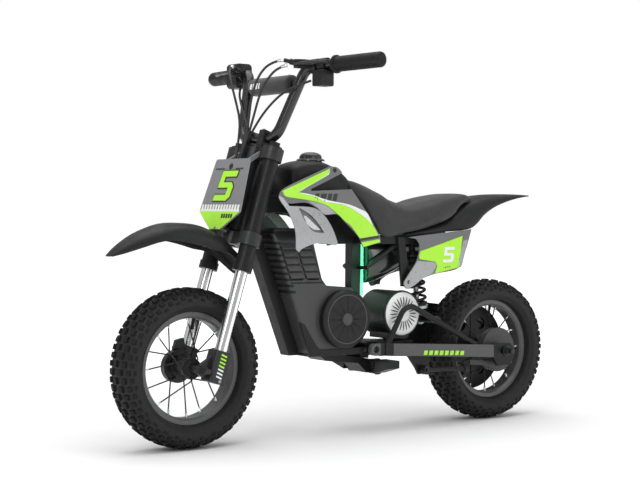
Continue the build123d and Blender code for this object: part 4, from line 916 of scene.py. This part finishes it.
PLATE_DIGIT = [((x - 23) * 1.22 + 0.17 * (y - 31), 341 + y * 63 / 62) for x, y in DIGIT]
place(panel("plate_lime", [[(-73.4, 318.6), (73.4, 318.6), (18.6, 281.7), (6, 281.7), (0, 289), (-6, 281.7),
                            (-18.6, 281.7)]],
            plate_surface(0), SHEET), "steering", "lime_plastic")
comb = [(-71.5, 318.6), (-69.5, 323)]
for k in range(14):
    y = -65 + 10.0 * k
    comb += [(y - 3.1, 323), (y - 3.1, 333), (y + 3.1, 333), (y + 3.1, 323)]
comb += [(69.5, 323), (71.5, 318.6)]
place(panel("plate_comb", [comb], plate_surface(0), SHEET), "steering", "white_plastic")
for k in range(5):
    y = 13 + 8.4 * k
    place(panel(f"plate_dash_{k}", [[(y, 305), (y + 5, 305), (y + 5, 313.5), (y, 313.5)]],
                plate_surface(SHEET), SHEET),
          "steering", "ink_and_shade")
for k, (y0, y1) in enumerate(((-52, -22), (20, 46))):
    place(panel(f"plate_line_{k}", [[(y0, 407.5), (y1, 407.5), (y1, 410), (y0, 410)]], plate_surface(0),
                SHEET), "steering", "ink_and_shade")
place(panel("plate_digit_edge", [PLATE_DIGIT], plate_surface(0), SHEET, grow=2.4), "steering", "ink_and_shade")
place(panel("plate_digit", [PLATE_DIGIT], plate_surface(SHEET), SHEET), "steering", "lime_plastic")
screw("plate_screw", steer(47.5, 0, 414), AHEAD, "steering", "ink_and_shade", 5.0)

# ---------------------------------------------------------------- battery covers
SLOPE = 0.38  # the covers' front leans back by this much of its height
LOUVRE_COLUMNS = (-26.0, -66.0)  # behind the front edge


def cover_front(z):
    return 208.0 + SLOPE * (z - 396.0)


for sign, word in SIDES:
    chunks = []
    for column in LOUVRE_COLUMNS:
        for row in range(5):
            low = 394.4 - 15.0 * row
            high = low + 11.2
            ends = []
            for shift in (-16.5, 16.5):
                x_low = cover_front(low) + column + shift
                x_high = cover_front(high) + column + shift
                ends.append([(x_low, 49.5, low), (x_low, 53.6, low), (x_low, 54.0, low + 1.2),
                             (x_high, 51.8, high - 1.5), (x_high, 51.0, high), (x_high, 49.5, high)])
            rings = [[Vector((x, sign * y, zz)) * MM for x, y, zz in ring] for ring in ends]
            chunks.append(loft(rings))
    place(joined(f"louvres_{word}", chunks, 30), "frame", "cover_moulding")
    flat = flat_side(sign, 49.6)
    # Near-black sheets behind the louvres are painted shade in their gaps.
    for column in LOUVRE_COLUMNS:
        gap = [(cover_front(z) + column + shift, z)
               for shift, z in ((-18.5, 332), (-18.5, 406), (18.5, 406), (18.5, 332))]
        place(panel(f"louvre_gap_{word}_{int(-column)}", [gap], flat, 0.9), "frame", "painted_shade")
    chunks = []
    for k in range(9):
        z = 404 - 12.5 * k
        x = cover_front(z)
        rib = [(x - 12, 50.2), (x - 7, 52.2), (x - 1.5, 50.8), (x + 1.6, 46), (x + 2.2, 40), (x + 2.2, 6),
               (x - 1, 6), (x - 1, 44), (x - 5, 49)]
        verts = [Vector((px, sign * py, z)) * MM for px, py in rib]
        chunks.append(slab(verts, Vector((0.0016, 0, 0.0042))))
    place(joined(f"front_ribs_{word}", chunks, 30), "frame", "black_plastic")
    lid = [(124, 417), (126, 428), (cover_front(426) - 4, 428), (cover_front(418) - 5, 418)]
    place(panel(f"lid_strip_{word}", [lid], flat, 2.6, 0.8), "frame", "black_plastic")
    seam = [(cover_front(z) - 88, z) for z in (408, 330)] + [(cover_front(z) - 86.4, z) for z in (330, 408)]
    place(panel(f"cover_seam_{word}", [seam], flat, 1.1, 0.2), "frame", "black_plastic")
    foot_line = [(cover_front(324) - 88, 323), (cover_front(324) - 6, 323), (cover_front(324) - 6, 326),
                 (cover_front(324) - 88, 326)]
    place(panel(f"cover_step_{word}", [foot_line], flat, 1.6, 0.4), "frame", "black_plastic")
    # Fan disc on the round cover: a rolled rim, a boss and, between them, slots painted dark as shade.
    ring = turned((39.5, sign * 66.5, 247), (0, sign, 0),
                  [(0, 49.5), (1.2, 50), (1.6, 50.8), (1.2, 51.6), (0, 52.1)], 72)
    boss = turned((39.5, sign * 66.8, 247), (0, sign, 0), [(0, 13), (1, 12.2), (1.4, 9), (1.4, 0)], 40)
    place(joined(f"fan_rim_{word}", [ring], 40), "frame", "arm_paint")
    place(joined(f"fan_boss_{word}", [boss], 40), "frame", "cover_moulding")
    fan_at = Vector((0.0395, sign * 0.0668, 0.247))
    slots = []
    for k in range(12):
        a = math.pi * k / 6
        out, across = Vector((math.cos(a), 0, math.sin(a))), Vector((-math.sin(a), 0, math.cos(a)))
        corners = [fan_at + out * r + across * w
                   for r, w in ((0.0135, -0.0008), (0.047, -0.0015), (0.047, 0.0015), (0.0135, 0.0008))]
        slots.append(slab(corners, (0, sign * 0.0006, 0)))
    place(joined(f"fan_slots_{word}", slots, 30), "frame", "painted_shade")

# ---------------------------------------------------------------- motor faces
motor_at = Vector(joints["motor_spin"]["pos_m"])
motor_mm = motor_at / MM
FACE_Y = 48.0  # the motor's left face
MOTOR_DOME = [(0, 46.8), (0.8, 46.4), (2.2, 44), (3.4, 38), (4.4, 28), (5.0, 12), (5.0, 0)]
face = turned((motor_mm.x, FACE_Y, motor_mm.z), (0, 1, 0), MOTOR_DOME, 72)
place(joined("motor_face_left", [face], 40), "rear_arm", "motor_face")
# Dark blades on the motor's face are painted shade standing in for its slots.
SLOT_STATIONS = ((16.5, 5.0, 0.7), (28, 4.6, 1.2), (34.5, 3.9, 0.8),
                (37, 3.6, 0.3))  # radius, height, half-width
shaded_slots = []
for k in range(24):
    a = 2 * math.pi * k / 24
    out = Vector((math.cos(a), 0, math.sin(a)))
    side = Vector((-math.sin(a), 0, math.cos(a)))
    rings = []
    for radius, height, half in SLOT_STATIONS:
        centre = Vector((motor_mm.x, FACE_Y + height, motor_mm.z)) + out * radius
        rings.append([(centre + side * (s * half) + Vector((0, up, 0))) * MM
                      for s, up in ((-1, 0.6), (1, 0.6), (1, -0.6), (-1, -0.6))])
    shaded_slots.append(loft(rings))
place(joined("motor_slots_left", shaded_slots, 30), "rear_arm", "ink_and_shade")
BAND = [(-6, 48.5), (-6, 50.2), (-1, 50.6), (3, 50), (4.2, 48.5), (4.2, 47)]
band = turned((motor_mm.x, 44.5, motor_mm.z), (0, 1, 0), BAND, 72)
place(joined("motor_band_left", [band], 40), "rear_arm", "dark_alloy")

# ---------------------------------------------------------------- swingarm and fork marks
ARM_FRONT = -79.0  # where the face sheet starts, behind the pivot block
for sign, word in SIDES:
    face = [(ARM_FRONT, 191.5), (-372, 175.2), (-372, 147), (ARM_FRONT, 165.4)]
    place(panel(f"arm_face_{word}", [face], flat_side(sign, 75.0), 0.5, 0.2, cell=60), "rear_arm",
          "arm_paint")
    flat = flat_side(sign, 75.5)
    for k in range(8):
        x = -163 - 15.2 * k
        z = 162.6 - 0.85 * k
        mark = [(x, z), (x - 10.2, z), (x - 12, z + 9.4), (x - 2, z + 9.4)]
        place(panel(f"arm_mark_{word}_{k}", [mark], flat, SHEET), "rear_arm", "lime_plastic")


FORK_Y = 61.8
GUARD_RINGS = (  # height, half-length, half-width
    (-17.5, 14, 14), (-17.5, 17.5, 17), (-15.5, 19.4, 18.6), (20, 19.6, 18.8),
    (40, 19.2, 18.6), (45.5, 18.4, 18), (46.5, 17, 16.6), (46.5, 13.2, 13.2),
)


def superellipse(half, top, bottom, power, count=44):
    middle, tall = (top + bottom) / 2, (top - bottom) / 2
    ring = []
    for k in range(count):
        a = 2 * math.pi * k / count
        c, s = math.cos(a), math.sin(a)
        ring.append((math.copysign(abs(c) ** (2 / power), c) * half,
                     middle + math.copysign(abs(s) ** (2 / power), s) * tall))
    return ring


for sign, word in SIDES:
    rings = [[steer(0.5 + u, sign * FORK_Y + v, height) * MM
              for u, v in superellipse(wide, deep, -deep, 6.0, 40)]
             for height, wide, deep in GUARD_RINGS]
    place(joined(f"fork_guard_{word}", [loft(rings)], 35), "fork_lower", "dark_alloy")

    def guard(u, w, s=sign):
        return steer(u, s * (FORK_Y + 18.9), w), Vector((0, s, 0))
    for k in range(7):
        w = -8 + 7.2 * k
        mark = [(-5, w), (8, w + 2.0), (8, w + 5.4), (-5, w + 3.4)]
        look = "white_plastic" if k < 3 else "lime_plastic"
        place(panel(f"fork_mark_{word}_{k}", [mark], guard, SHEET), "fork_lower", look)
    bolt = steer(-3.5, sign * 80.4, -12.5)
    screw(f"fork_pinch_{word}", bolt, (0, sign, 0), "fork_lower", "zinc_steel", 2.6)

# ---------------------------------------------------------------- handlebar controls
BAR_BEND = Vector((177, 101, 760))
BAR_END = Vector((141, 296, 764))
GRIP_DIR = (BAR_END - BAR_BEND).normalized()


def on_bar(y, sign):
    point = BAR_BEND + GRIP_DIR * ((y - BAR_BEND.y) / GRIP_DIR.y)
    return Vector((point.x, sign * point.y, point.z))


grip_profile = [(0, 11.3), (0, 17.2), (0.8, 18.4), (4.2, 18.4), (5.2, 17.4), (6.0, 15.2)]
length = 118.5 / GRIP_DIR.y
at = 8.0
while at < length - 16:
    grip_profile += [(at, 14.9), (at + 0.6, 15.5), (at + 2.4, 15.5), (at + 3.0, 14.9)]
    at += 3.6
grip_profile += [(length - 14, 15.4), (length - 5, 15.5), (length - 1.8, 14.4), (length - 0.3, 12.0),
                 (length, 9.0), (length - 0.8, 7.0), (length - 1.2, 0)]
for sign, word, node, body in ((1, "left", "left_grip", "steering"),
                               (-1, "right", "throttle_grip", "throttle")):
    start = on_bar(179, sign)
    along = Vector((GRIP_DIR.x, sign * GRIP_DIR.y, GRIP_DIR.z))
    place(joined(f"grip_{word}", [turned(start, along, grip_profile, 40)], 50), body, "soft_rubber",
          hides=(node,))

pad_profile = [(-70, 0), (-70, 13.5), (-69.3, 16), (-67, 17.9), (-63, 18.4), (63, 18.4), (67, 17.9),
               (69.3, 16), (70, 13.5), (70, 0)]
bar_z, bar_x = 729.0, 186.5
pad = joined("bar_pad", [turned((bar_x, 0, bar_z), (0, 1, 0), pad_profile, 64)], 50)
place(pad, "steering", "pad_foam", hides=("crossbar_pad",))
SEAM = [(-0.8, 18.3), (-0.4, 18.8), (0.4, 18.8), (0.8, 18.3)]
seams = [turned((bar_x, y, bar_z), (0, 1, 0), SEAM, 64, closed=True) for y in (-60.0, 60.0)]
place(joined("bar_pad_seams", seams, 60), "steering", "pad_foam")

LEVER_LINE = [(211, 112.5, 764), (213.5, 126, 764), (212.2, 140, 764), (209, 158, 764), (204.5, 176, 764),
              (199.5, 190, 764), (196.5, 199.6, 764)]
LEVER_HUB = [(0, 3.4), (0, 7.2), (0.6, 7.6), (7.0, 7.6), (7.6, 7.2), (7.6, 3.4)]


def lever_radius(t):
    """Thick at the pivot, with a small ball at the tip that closes round."""
    root = 2.6 * math.exp(-(t / 0.10) ** 2)
    ball = 1.3 * math.exp(-((t - 1.0) / 0.05) ** 2)
    return MM * (5.0 + root + ball) * min(1.0, 0.35 + (1.0 - t) * 28)


for sign, word in SIDES:
    line = [p * MM for p in smooth_line([(x, sign * y, z) for x, y, z in LEVER_LINE], 7)]
    blade = tube(line, lever_radius, 20, flat=0.78)
    hub = turned((211, sign * 118, 760.2), (0, 0, 1), LEVER_HUB, 28)
    place(joined(f"lever_{word}", [blade, hub], 50), f"lever_{word}", "dark_alloy",
          hides=(f"brake_lever_{word}",))

# ---------------------------------------------------------------- control cables
CABLE_END = 392.3  # inside the loom, up the steering axis
ROUTES = [
    [(227.4, 91.1, 772.4), (247, 74, 768), (257, 46, 741), (256, 22, 700), (254, 8, 652), steer(28, 5, 468),
     steer(33, 4.5, 430), steer(33, 4.5, CABLE_END)],
    [(192.5, 138, 730), (207, 113, 722), (219, 78, 708), (228, 46, 684), (238, 22, 655), steer(29, 0, 465),
     steer(29, 0, 430), steer(28.5, 0, CABLE_END)],
    [(176, -135.6, 736.4), (196, -113, 720), (214, -78, 694), (226, -44, 662), (236, -18, 632),
     steer(28, -6, 456), steer(33, -4.5, 428), steer(33, -4.5, CABLE_END)],
    [(227.4, -91.1, 772.4), (246, -76, 766), (256, -54, 738), (257, -34, 698), (254, -20, 654),
     steer(38, -12, 466), steer(40, -2, 432), steer(38.5, -0.5, CABLE_END)],
    [(219, 92, 762.5), (233, 79, 757), (243, 58, 735), (247, 36, 702), (246, 15, 660), steer(31, 6, 478),
     steer(36, 5, 430), steer(36, 4, CABLE_END)],
]
for index, route in enumerate(ROUTES):
    curve = bpy.data.curves.new(f"cable_{index}", "CURVE")
    curve.dimensions = "3D"
    curve.bevel_depth = 2.45 * MM
    curve.bevel_resolution = 5
    curve.use_fill_caps = True
    curve.resolution_u = 14
    spline = curve.splines.new("NURBS")
    spline.points.add(len(route) - 1)
    for point, where in zip(spline.points, route):
        point.co = (*(Vector(where) * MM), 1)
    spline.order_u = 3
    spline.use_endpoint_u = True
    cable = bpy.data.objects.new(f"cable_{index}", curve)
    bpy.context.scene.collection.objects.link(cable)
    place(cable, "steering", "cable_jacket", hides=("control_cables",) if index == 0 else ())
FERRULE = [(0, 1.5), (0, 3.6), (3, 4.0), (6, 3.6), (6.5, 3.2), (12, 3.2), (12.8, 2.6)]
ferrules = []
for index in (0, 3, 4):
    start, after = Vector(ROUTES[index][0]), Vector(ROUTES[index][1])
    lean = (after - start).normalized()
    ferrules.append(turned(start - lean * 1.5, lean, FERRULE, 20))
place(joined("cable_ferrules", ferrules, 40), "steering", "nipple")
LOOM = [(0, 0), (0, 8.8), (1, 9.3), (97, 9.3), (99.5, 8.8), (99.5, 7.0), (94, 6.2), (94, 0)]
loom = turned(steer(33.8, 0, 298), UP, LOOM, 32)
place(joined("cable_loom", [loom], 50), "steering", "cable_jacket")

# ---------------------------------------------------------------- shock spring
shock_low = Vector((-212.0, 0, 236.0))
shock_axis = (Vector((-190.0, 0, 405.0)) - shock_low).normalized()
along, coil_side, coil_other = axes_along(shock_axis, (0, 1, 0))
LOW, HIGH, WIRE, COIL, TURNS = 29.3, 139.7, 3.15, 20.0, 6.0
turns_total = TURNS + 1.4
flat_share = 0.7 / turns_total
line = []
STEPS = 300
for k in range(STEPS + 1):
    t = k / STEPS
    angle = 2 * math.pi * turns_total * t
    if t < flat_share:
        climb = 0.02 * (t / flat_share)
    elif t > 1 - flat_share:
        climb = 0.98 + 0.02 * ((t - 1 + flat_share) / flat_share)
    else:
        climb = 0.02 + 0.96 * (t - flat_share) / (1 - 2 * flat_share)
    height = LOW + WIRE + (HIGH - LOW - 2 * WIRE) * climb
    out = coil_side * math.cos(angle) + coil_other * math.sin(angle)
    line.append((shock_low + along * height + out * COIL) * MM)
coil = joined("shock_coil", [tube(line, WIRE * MM, 14, hint=shock_axis)], 60)
place(coil, "shock_tube", "spring_paint", hides=("shock_spring",))
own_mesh(coil)

# ---------------------------------------------------------------- chain
rear_at = Vector(joints["rear_wheel_spin"]["pos_m"]) / MM
PITCH_MM = 8.0
REAR_TEETH, MOTOR_TEETH = 54, 14
r_rear = PITCH_MM / (2 * math.sin(math.pi / REAR_TEETH))
r_motor = PITCH_MM / (2 * math.sin(math.pi / MOTOR_TEETH))
gap = Vector((motor_mm.x - rear_at.x, motor_mm.z - rear_at.z))
base_angle = math.atan2(gap.y, gap.x)
swing = math.acos((r_rear - r_motor) / gap.length)


def around(centre, radius, angle):
    return Vector((centre.x + radius * math.cos(angle), centre.z + radius * math.sin(angle)))


track = []
for k in range(181):
    track.append(around(rear_at, r_rear, base_angle + swing + (2 * math.pi - 2 * swing) * k / 180))
for k in range(61):
    track.append(around(motor_mm, r_motor, base_angle - swing + 2 * swing * k / 60))
lengths = [0.0]
for i in range(len(track)):
    lengths.append(lengths[-1] + (track[(i + 1) % len(track)] - track[i]).length)
links = int(round(lengths[-1] / PITCH_MM / 2)) * 2
step = lengths[-1] / links


def along_track(distance):
    distance %= lengths[-1]
    for i in range(len(track)):
        if lengths[i + 1] >= distance:
            share = (distance - lengths[i]) / max(lengths[i + 1] - lengths[i], 1e-9)
            return track[i].lerp(track[(i + 1) % len(track)], share)
    return track[0]


pins = [along_track(step * k) for k in range(links)]
chunks = []
CHAIN_Y = -52.0
for k in range(links):
    a, b = pins[k], pins[(k + 1) % links]
    lean = (b - a).normalized()
    cross = Vector((-lean.y, lean.x))
    outer = k % 2 == 0
    for s in (-1, 1):
        y0 = CHAIN_Y + s * (2.2 if outer else 1.3)
        loop = []
        for centre, flip in ((b, 1), (a, -1)):
            for j in range(7):
                angle = -math.pi / 2 + math.pi * j / 6
                p = centre + (lean * (math.cos(angle) * flip) + cross * (math.sin(angle) * flip)) * 2.7
                loop.append(Vector((p.x, y0, p.y)) * MM)
        chunks.append(slab(loop, Vector((0, s * 0.7, 0)) * MM))
    chunks.append(turned((a.x, CHAIN_Y - 2.95, a.y), (0, 1, 0), [(0, 0), (0, 1.2), (5.9, 1.2), (5.9, 0)], 8))
    roller = [(0, 1.2), (0, 2.1), (2.4, 2.1), (2.4, 1.2)]
    chunks.append(turned((a.x, CHAIN_Y - 1.2, a.y), (0, 1, 0), roller, 10, closed=True))
place(joined("roller_chain", chunks, 30), "rear_arm", "chain_steel", hides=("drive_chain",))

# ---------------------------------------------------------------- duct, battery lid, arm pivots, clamp bolts
DUCT = [
    # x, top, bottom, half-width
    (-46, 408, 318, 30), (-60, 409.5, 319, 31.5), (-80, 409, 324, 32), (-104, 407, 332, 31),
    (-128, 404, 342, 29), (-148, 399, 353, 26), (-154, 392, 362, 21),
]


rings = [[Vector((x, y, z)) * MM for y, z in superellipse(half, top, bottom, 2.7)]
         for x, top, bottom, half in dense(DUCT, 4)]
place(joined("controller_duct", [loft(rings)], 50), "frame", "gloss_black", hides=("controller_housing",))

rings = []
for z, grow in ((413, -1.5), (414, 0.6), (416.5, 1.6), (424, 1.6), (425, 0.2), (428, 0.2), (432, -1.2),
                (435.5, -6), (436.5, -12)):
    middle = 170 + SLOPE * (z - 420) * 0.6
    rings.append([Vector((middle + (47 + grow) * u, (51 + grow) * v, z)) * MM
                  for v, u in superellipse(1, 1, -1, 7.0, 60)])
place(joined("battery_lid", [loft(rings)], 40), "frame", "black_plastic")

for sign, word in SIDES:
    ring_out = [(-46, 167), (-46, 193), (-33, 193)]
    ring_out += [(-33 + 13 * math.sin(a), 180 + 13 * math.cos(a))
                 for a in (math.pi * k / 14 for k in range(1, 15))]
    hole = circle(-34.5, 180, 7.4)
    side = flat_side(sign, 61.0)
    place(panel(f"pivot_boss_{word}", [ring_out, hole], side, 12.5, 1.0, cell=60), "rear_arm", "arm_paint")
    block = [(-60, 166), (-60, 193), (-45, 193), (-45, 166)]
    place(panel(f"pivot_block_{word}", [block], side, 12.0, 1.0, cell=60), "rear_arm", "frame_black")
    screw(f"pivot_bolt_{word}", (-34.5, sign * 66.5, 180), (0, sign, 0), "rear_arm", "dark_alloy", 5.0)
    for index, ahead in enumerate((-10.5, 10.5)):
        screw(f"cap_bolt_{word}_{index}", steer(ahead, sign * 27, 503.2), UP, "steering", "zinc_steel", 3.3)

tray = [Vector(p) * MM for p in ((-40, -27.5, 411), (-40, 27.5, 411), (-122, 27.5, 411), (-122, -27.5, 411))]
place(joined("seat_tray", [slab(tray, (0, 0, 0.010))]), "frame", "black_plastic")

# ---------------------------------------------------------------- tank cap
cap_low, cap_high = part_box("tank_cap")
cap_at = (cap_low + cap_high) / 2
cap_tall, cap_r = cap_high.z - cap_low.z, (cap_high.x - cap_low.x) / 2
rings = []
for share, wide, ribbed in ((0, 0.98, 0), (0.10, 1.0, 0), (0.16, 0.93, 0.3), (0.24, 0.90, 1), (0.62, 0.88, 1),
                            (0.76, 0.82, 0.6), (0.88, 0.70, 0.2), (0.96, 0.50, 0), (1.0, 0.28, 0)):
    ring = []
    for k in range(120):
        a = 2 * math.pi * k / 120
        r = cap_r * (wide + 0.03 * ribbed * math.cos(20 * a))
        ring.append(Vector((cap_at.x + r * math.cos(a), cap_at.y + r * math.sin(a),
                            cap_low.z + share * cap_tall)))
    rings.append(ring)
place(joined("ribbed_cap", [loft(rings)], 40), "cap", "gloss_black", hides=("tank_cap",))

# ---------------------------------------------------------------- cradle plates and lower rails
PEG_X, PEG_Y = -60.0, 44.0
SKID = [
    (86, 172), (66, 158), (34, 154), (-20, 149), (-44, 127), (-74, 127), (-74, 146), (-56, 156), (-28, 160),
    (20, 168), (50, 171.5),
]
cradle = [slab([Vector((x, -28, z)) * MM for x, z in SKID], (0, 0.056, 0))]
BRACKET = ((-53, 178), (-50, 158), (-28, 160), (-28, 180))
cradle.append(slab([Vector((x, -25.6, z)) * MM for x, z in BRACKET], (0, 0.0512, 0)))
tray = ((124, -44), (124, 44), (-30, 44), (-30, -44))
cradle.append(slab([Vector((x, y, 171)) * MM for x, y in tray], (0, 0, 0.0065)))
SLEEVE = [(0, 6.1), (0, 13), (1, 14), (50.2, 14), (51.2, 13), (51.2, 6.1)]
cradle.append(turned((-43, -25.6, 180), (0, 1, 0), SLEEVE, 40, closed=True))
cradle.append(turned((-43, -37.5, 180), (0, 1, 0), [(0, 0), (0, 6), (75, 6), (75, 0)], 32))
for sign in (1, -1):
    head = [(0, 0), (0, 9.5), (5, 9.5), (6, 8.2), (6, 0)]
    cradle.append(turned((-43, sign * 37.5, 180), (0, sign, 0), head, 6))
    tab = [(PEG_X + 9 * math.cos(a), sign * (PEG_Y + 9 * math.sin(a)))
           for a in [math.pi * k / 14 for k in range(15)]]
    tab += [(PEG_X - 9, sign * 26), (PEG_X + 9, sign * 26)]
    for low in (126, 152):
        cradle.append(slab([Vector((x, y, low)) * MM for x, y in tab], (0, 0, 0.004)))
    pin = [(0, 0), (0, 5.8), (1.8, 5.8), (1.8, 4), (32.5, 4), (32.5, 5.8), (34, 5.2), (34, 0)]
    cradle.append(turned((PEG_X, sign * PEG_Y, 124), (0, 0, 1), pin, 24))
place(joined("cradle_plates", cradle, 30), "frame", "frame_black", hides=("cradle",))
for sign, word in SIDES:
    rail = [(124, 171, "c"), (-40, 171, "c"), (-36, 184, "c"), (88, 185.5), (102, 189), (113, 200),
            (cover_front(240) - 9, 240, "c"), (cover_front(242) + 1, 242, "c"), (cover_front(190) + 1, 190)]
    place(panel(f"lower_rail_{word}", [outline(rail)], flat_side(sign, 45.0), 7.6, 1.2, cell=60), "frame",
          "frame_black")
    for index, x in enumerate((96, -20)):
        screw(f"rail_bolt_{word}_{index}", (x, sign * 52.8, 178.5), (0, sign, 0), "frame", radius=3.2)

# ---------------------------------------------------------------- marks on the crossbar pad
def pad_surface(y, v):
    a = v / 18.55
    normal = Vector((math.cos(a), 0, math.sin(a)))
    return Vector((bar_x, y, bar_z)) + normal * 18.45, normal


for k, (y, wide) in enumerate(((-60, 7), (-49.5, 4), (-42, 9), (-29.5, 4))):
    mark = [(y, -5.5), (y + wide, -5.5), (y + wide + 3, 6), (y + 3, 6)]
    place(panel(f"pad_mark_{k}", [mark], pad_surface, 0.25, cell=2.0), "steering", "white_plastic")

# ---------------------------------------------------------------- floor, backdrop and lamps
stage_mesh = bpy.data.meshes.new("floor")
stage_mesh.from_pydata([(-30, -30, 0), (30, -30, 0), (30, 30, 0), (-30, 30, 0)], [], [(0, 1, 2, 3)])
floor = bpy.data.objects.new("floor", stage_mesh)
bpy.context.scene.collection.objects.link(floor)
floor.data.materials.append(material("floor_paper", (0.93, 0.93, 0.93), 0.9, tint=0.01, depth=10,
                                     specular=0.1))
# The paper brightens away from the bike, as a lit sweep does, and meets the backdrop without a line.
paper = floor.data.materials[0].node_tree
paper_shader = next(n for n in paper.nodes if n.type == "BSDF_PRINCIPLED")
paper_place = add_node(paper, "ShaderNodeTexCoord")
reach = add_node(paper, "ShaderNodeVectorMath", {"operation": "LENGTH"})
rise = add_node(paper, "ShaderNodeMapRange", {"interpolation_type": "SMOOTHSTEP"},
                From_Min=0.55, From_Max=2.4, To_Max=0.5)
paper.links.new(paper_place.outputs["Object"], reach.inputs[0])
paper.links.new(reach.outputs["Value"], rise.inputs["Value"])
paper.links.new(rise.outputs[0], paper_shader.inputs["Emission Strength"])
paper_shader.inputs["Emission Color"].default_value = (1, 1, 1, 1)

world = bpy.data.worlds.new("studio")
bpy.context.scene.world = world
world.use_nodes = True
sky = world.node_tree
backdrop = sky.nodes["Background"]
backdrop.inputs[0].default_value = (1, 1, 1, 1)
backdrop.inputs[1].default_value = 1.0
# The camera sees plain white paper; the object is lit by a softer room that is brighter overhead.
room = add_node(sky, "ShaderNodeBackground")
aim = add_node(sky, "ShaderNodeTexCoord")
height = add_node(sky, "ShaderNodeSeparateXYZ")
ramp = add_node(sky, "ShaderNodeMapRange", From_Min=-0.15, From_Max=0.85, To_Min=0.34, To_Max=0.95)
sky.links.new(aim.outputs["Generated"], height.inputs[0])
sky.links.new(height.outputs["Z"], ramp.inputs["Value"])
sky.links.new(ramp.outputs[0], room.inputs["Strength"])
seen = add_node(sky, "ShaderNodeLightPath")
choose = add_node(sky, "ShaderNodeMixShader")
sky.links.new(seen.outputs["Is Camera Ray"], choose.inputs[0])
sky.links.new(room.outputs[0], choose.inputs[1])
sky.links.new(backdrop.outputs[0], choose.inputs[2])
sky.links.new(choose.outputs[0], sky.nodes["World Output"].inputs[0])


def softbox(name, at, aim, size, power):
    lamp = bpy.data.lights.new(name, "AREA")
    lamp.shape = "RECTANGLE"
    lamp.size, lamp.size_y = size
    lamp.energy = power
    obj = bpy.data.objects.new(name, lamp)
    obj.location = at
    obj.rotation_mode = "QUATERNION"
    obj.rotation_quaternion = (Vector(aim) - Vector(at)).to_track_quat("-Z", "Y")
    bpy.context.scene.collection.objects.link(obj)


softbox("overhead", (0.1, 0.1, 3.2), (0, 0, 0.3), (3.4, 3.4), 62)
softbox("key", (2.2, 1.2, 1.7), (0, 0, 0.4), (0.7, 1.5), 13)
softbox("fill", (-1.6, 2.4, 1.3), (-0.1, 0, 0.4), (0.6, 1.4), 8)


def strip_light(name, at, size, power, colour, aim):
    softbox(name, at, aim, size, power)
    lamp = bpy.data.objects[name]
    lamp.data.color = colour
    lamp.visible_camera = False
    lamp.visible_glossy = False


for sign, word in SIDES:
    for aim_x, power in ((-0.10, 0.07), (0.02, 0.12)):
        strip_light(f"glow_{word}_{power:.2f}", (-0.040, sign * 0.038, 0.345), (0.008, 0.10), power,
                    (0.12, 1.0, 0.42), (aim_x, sign * 0.026, 0.345))
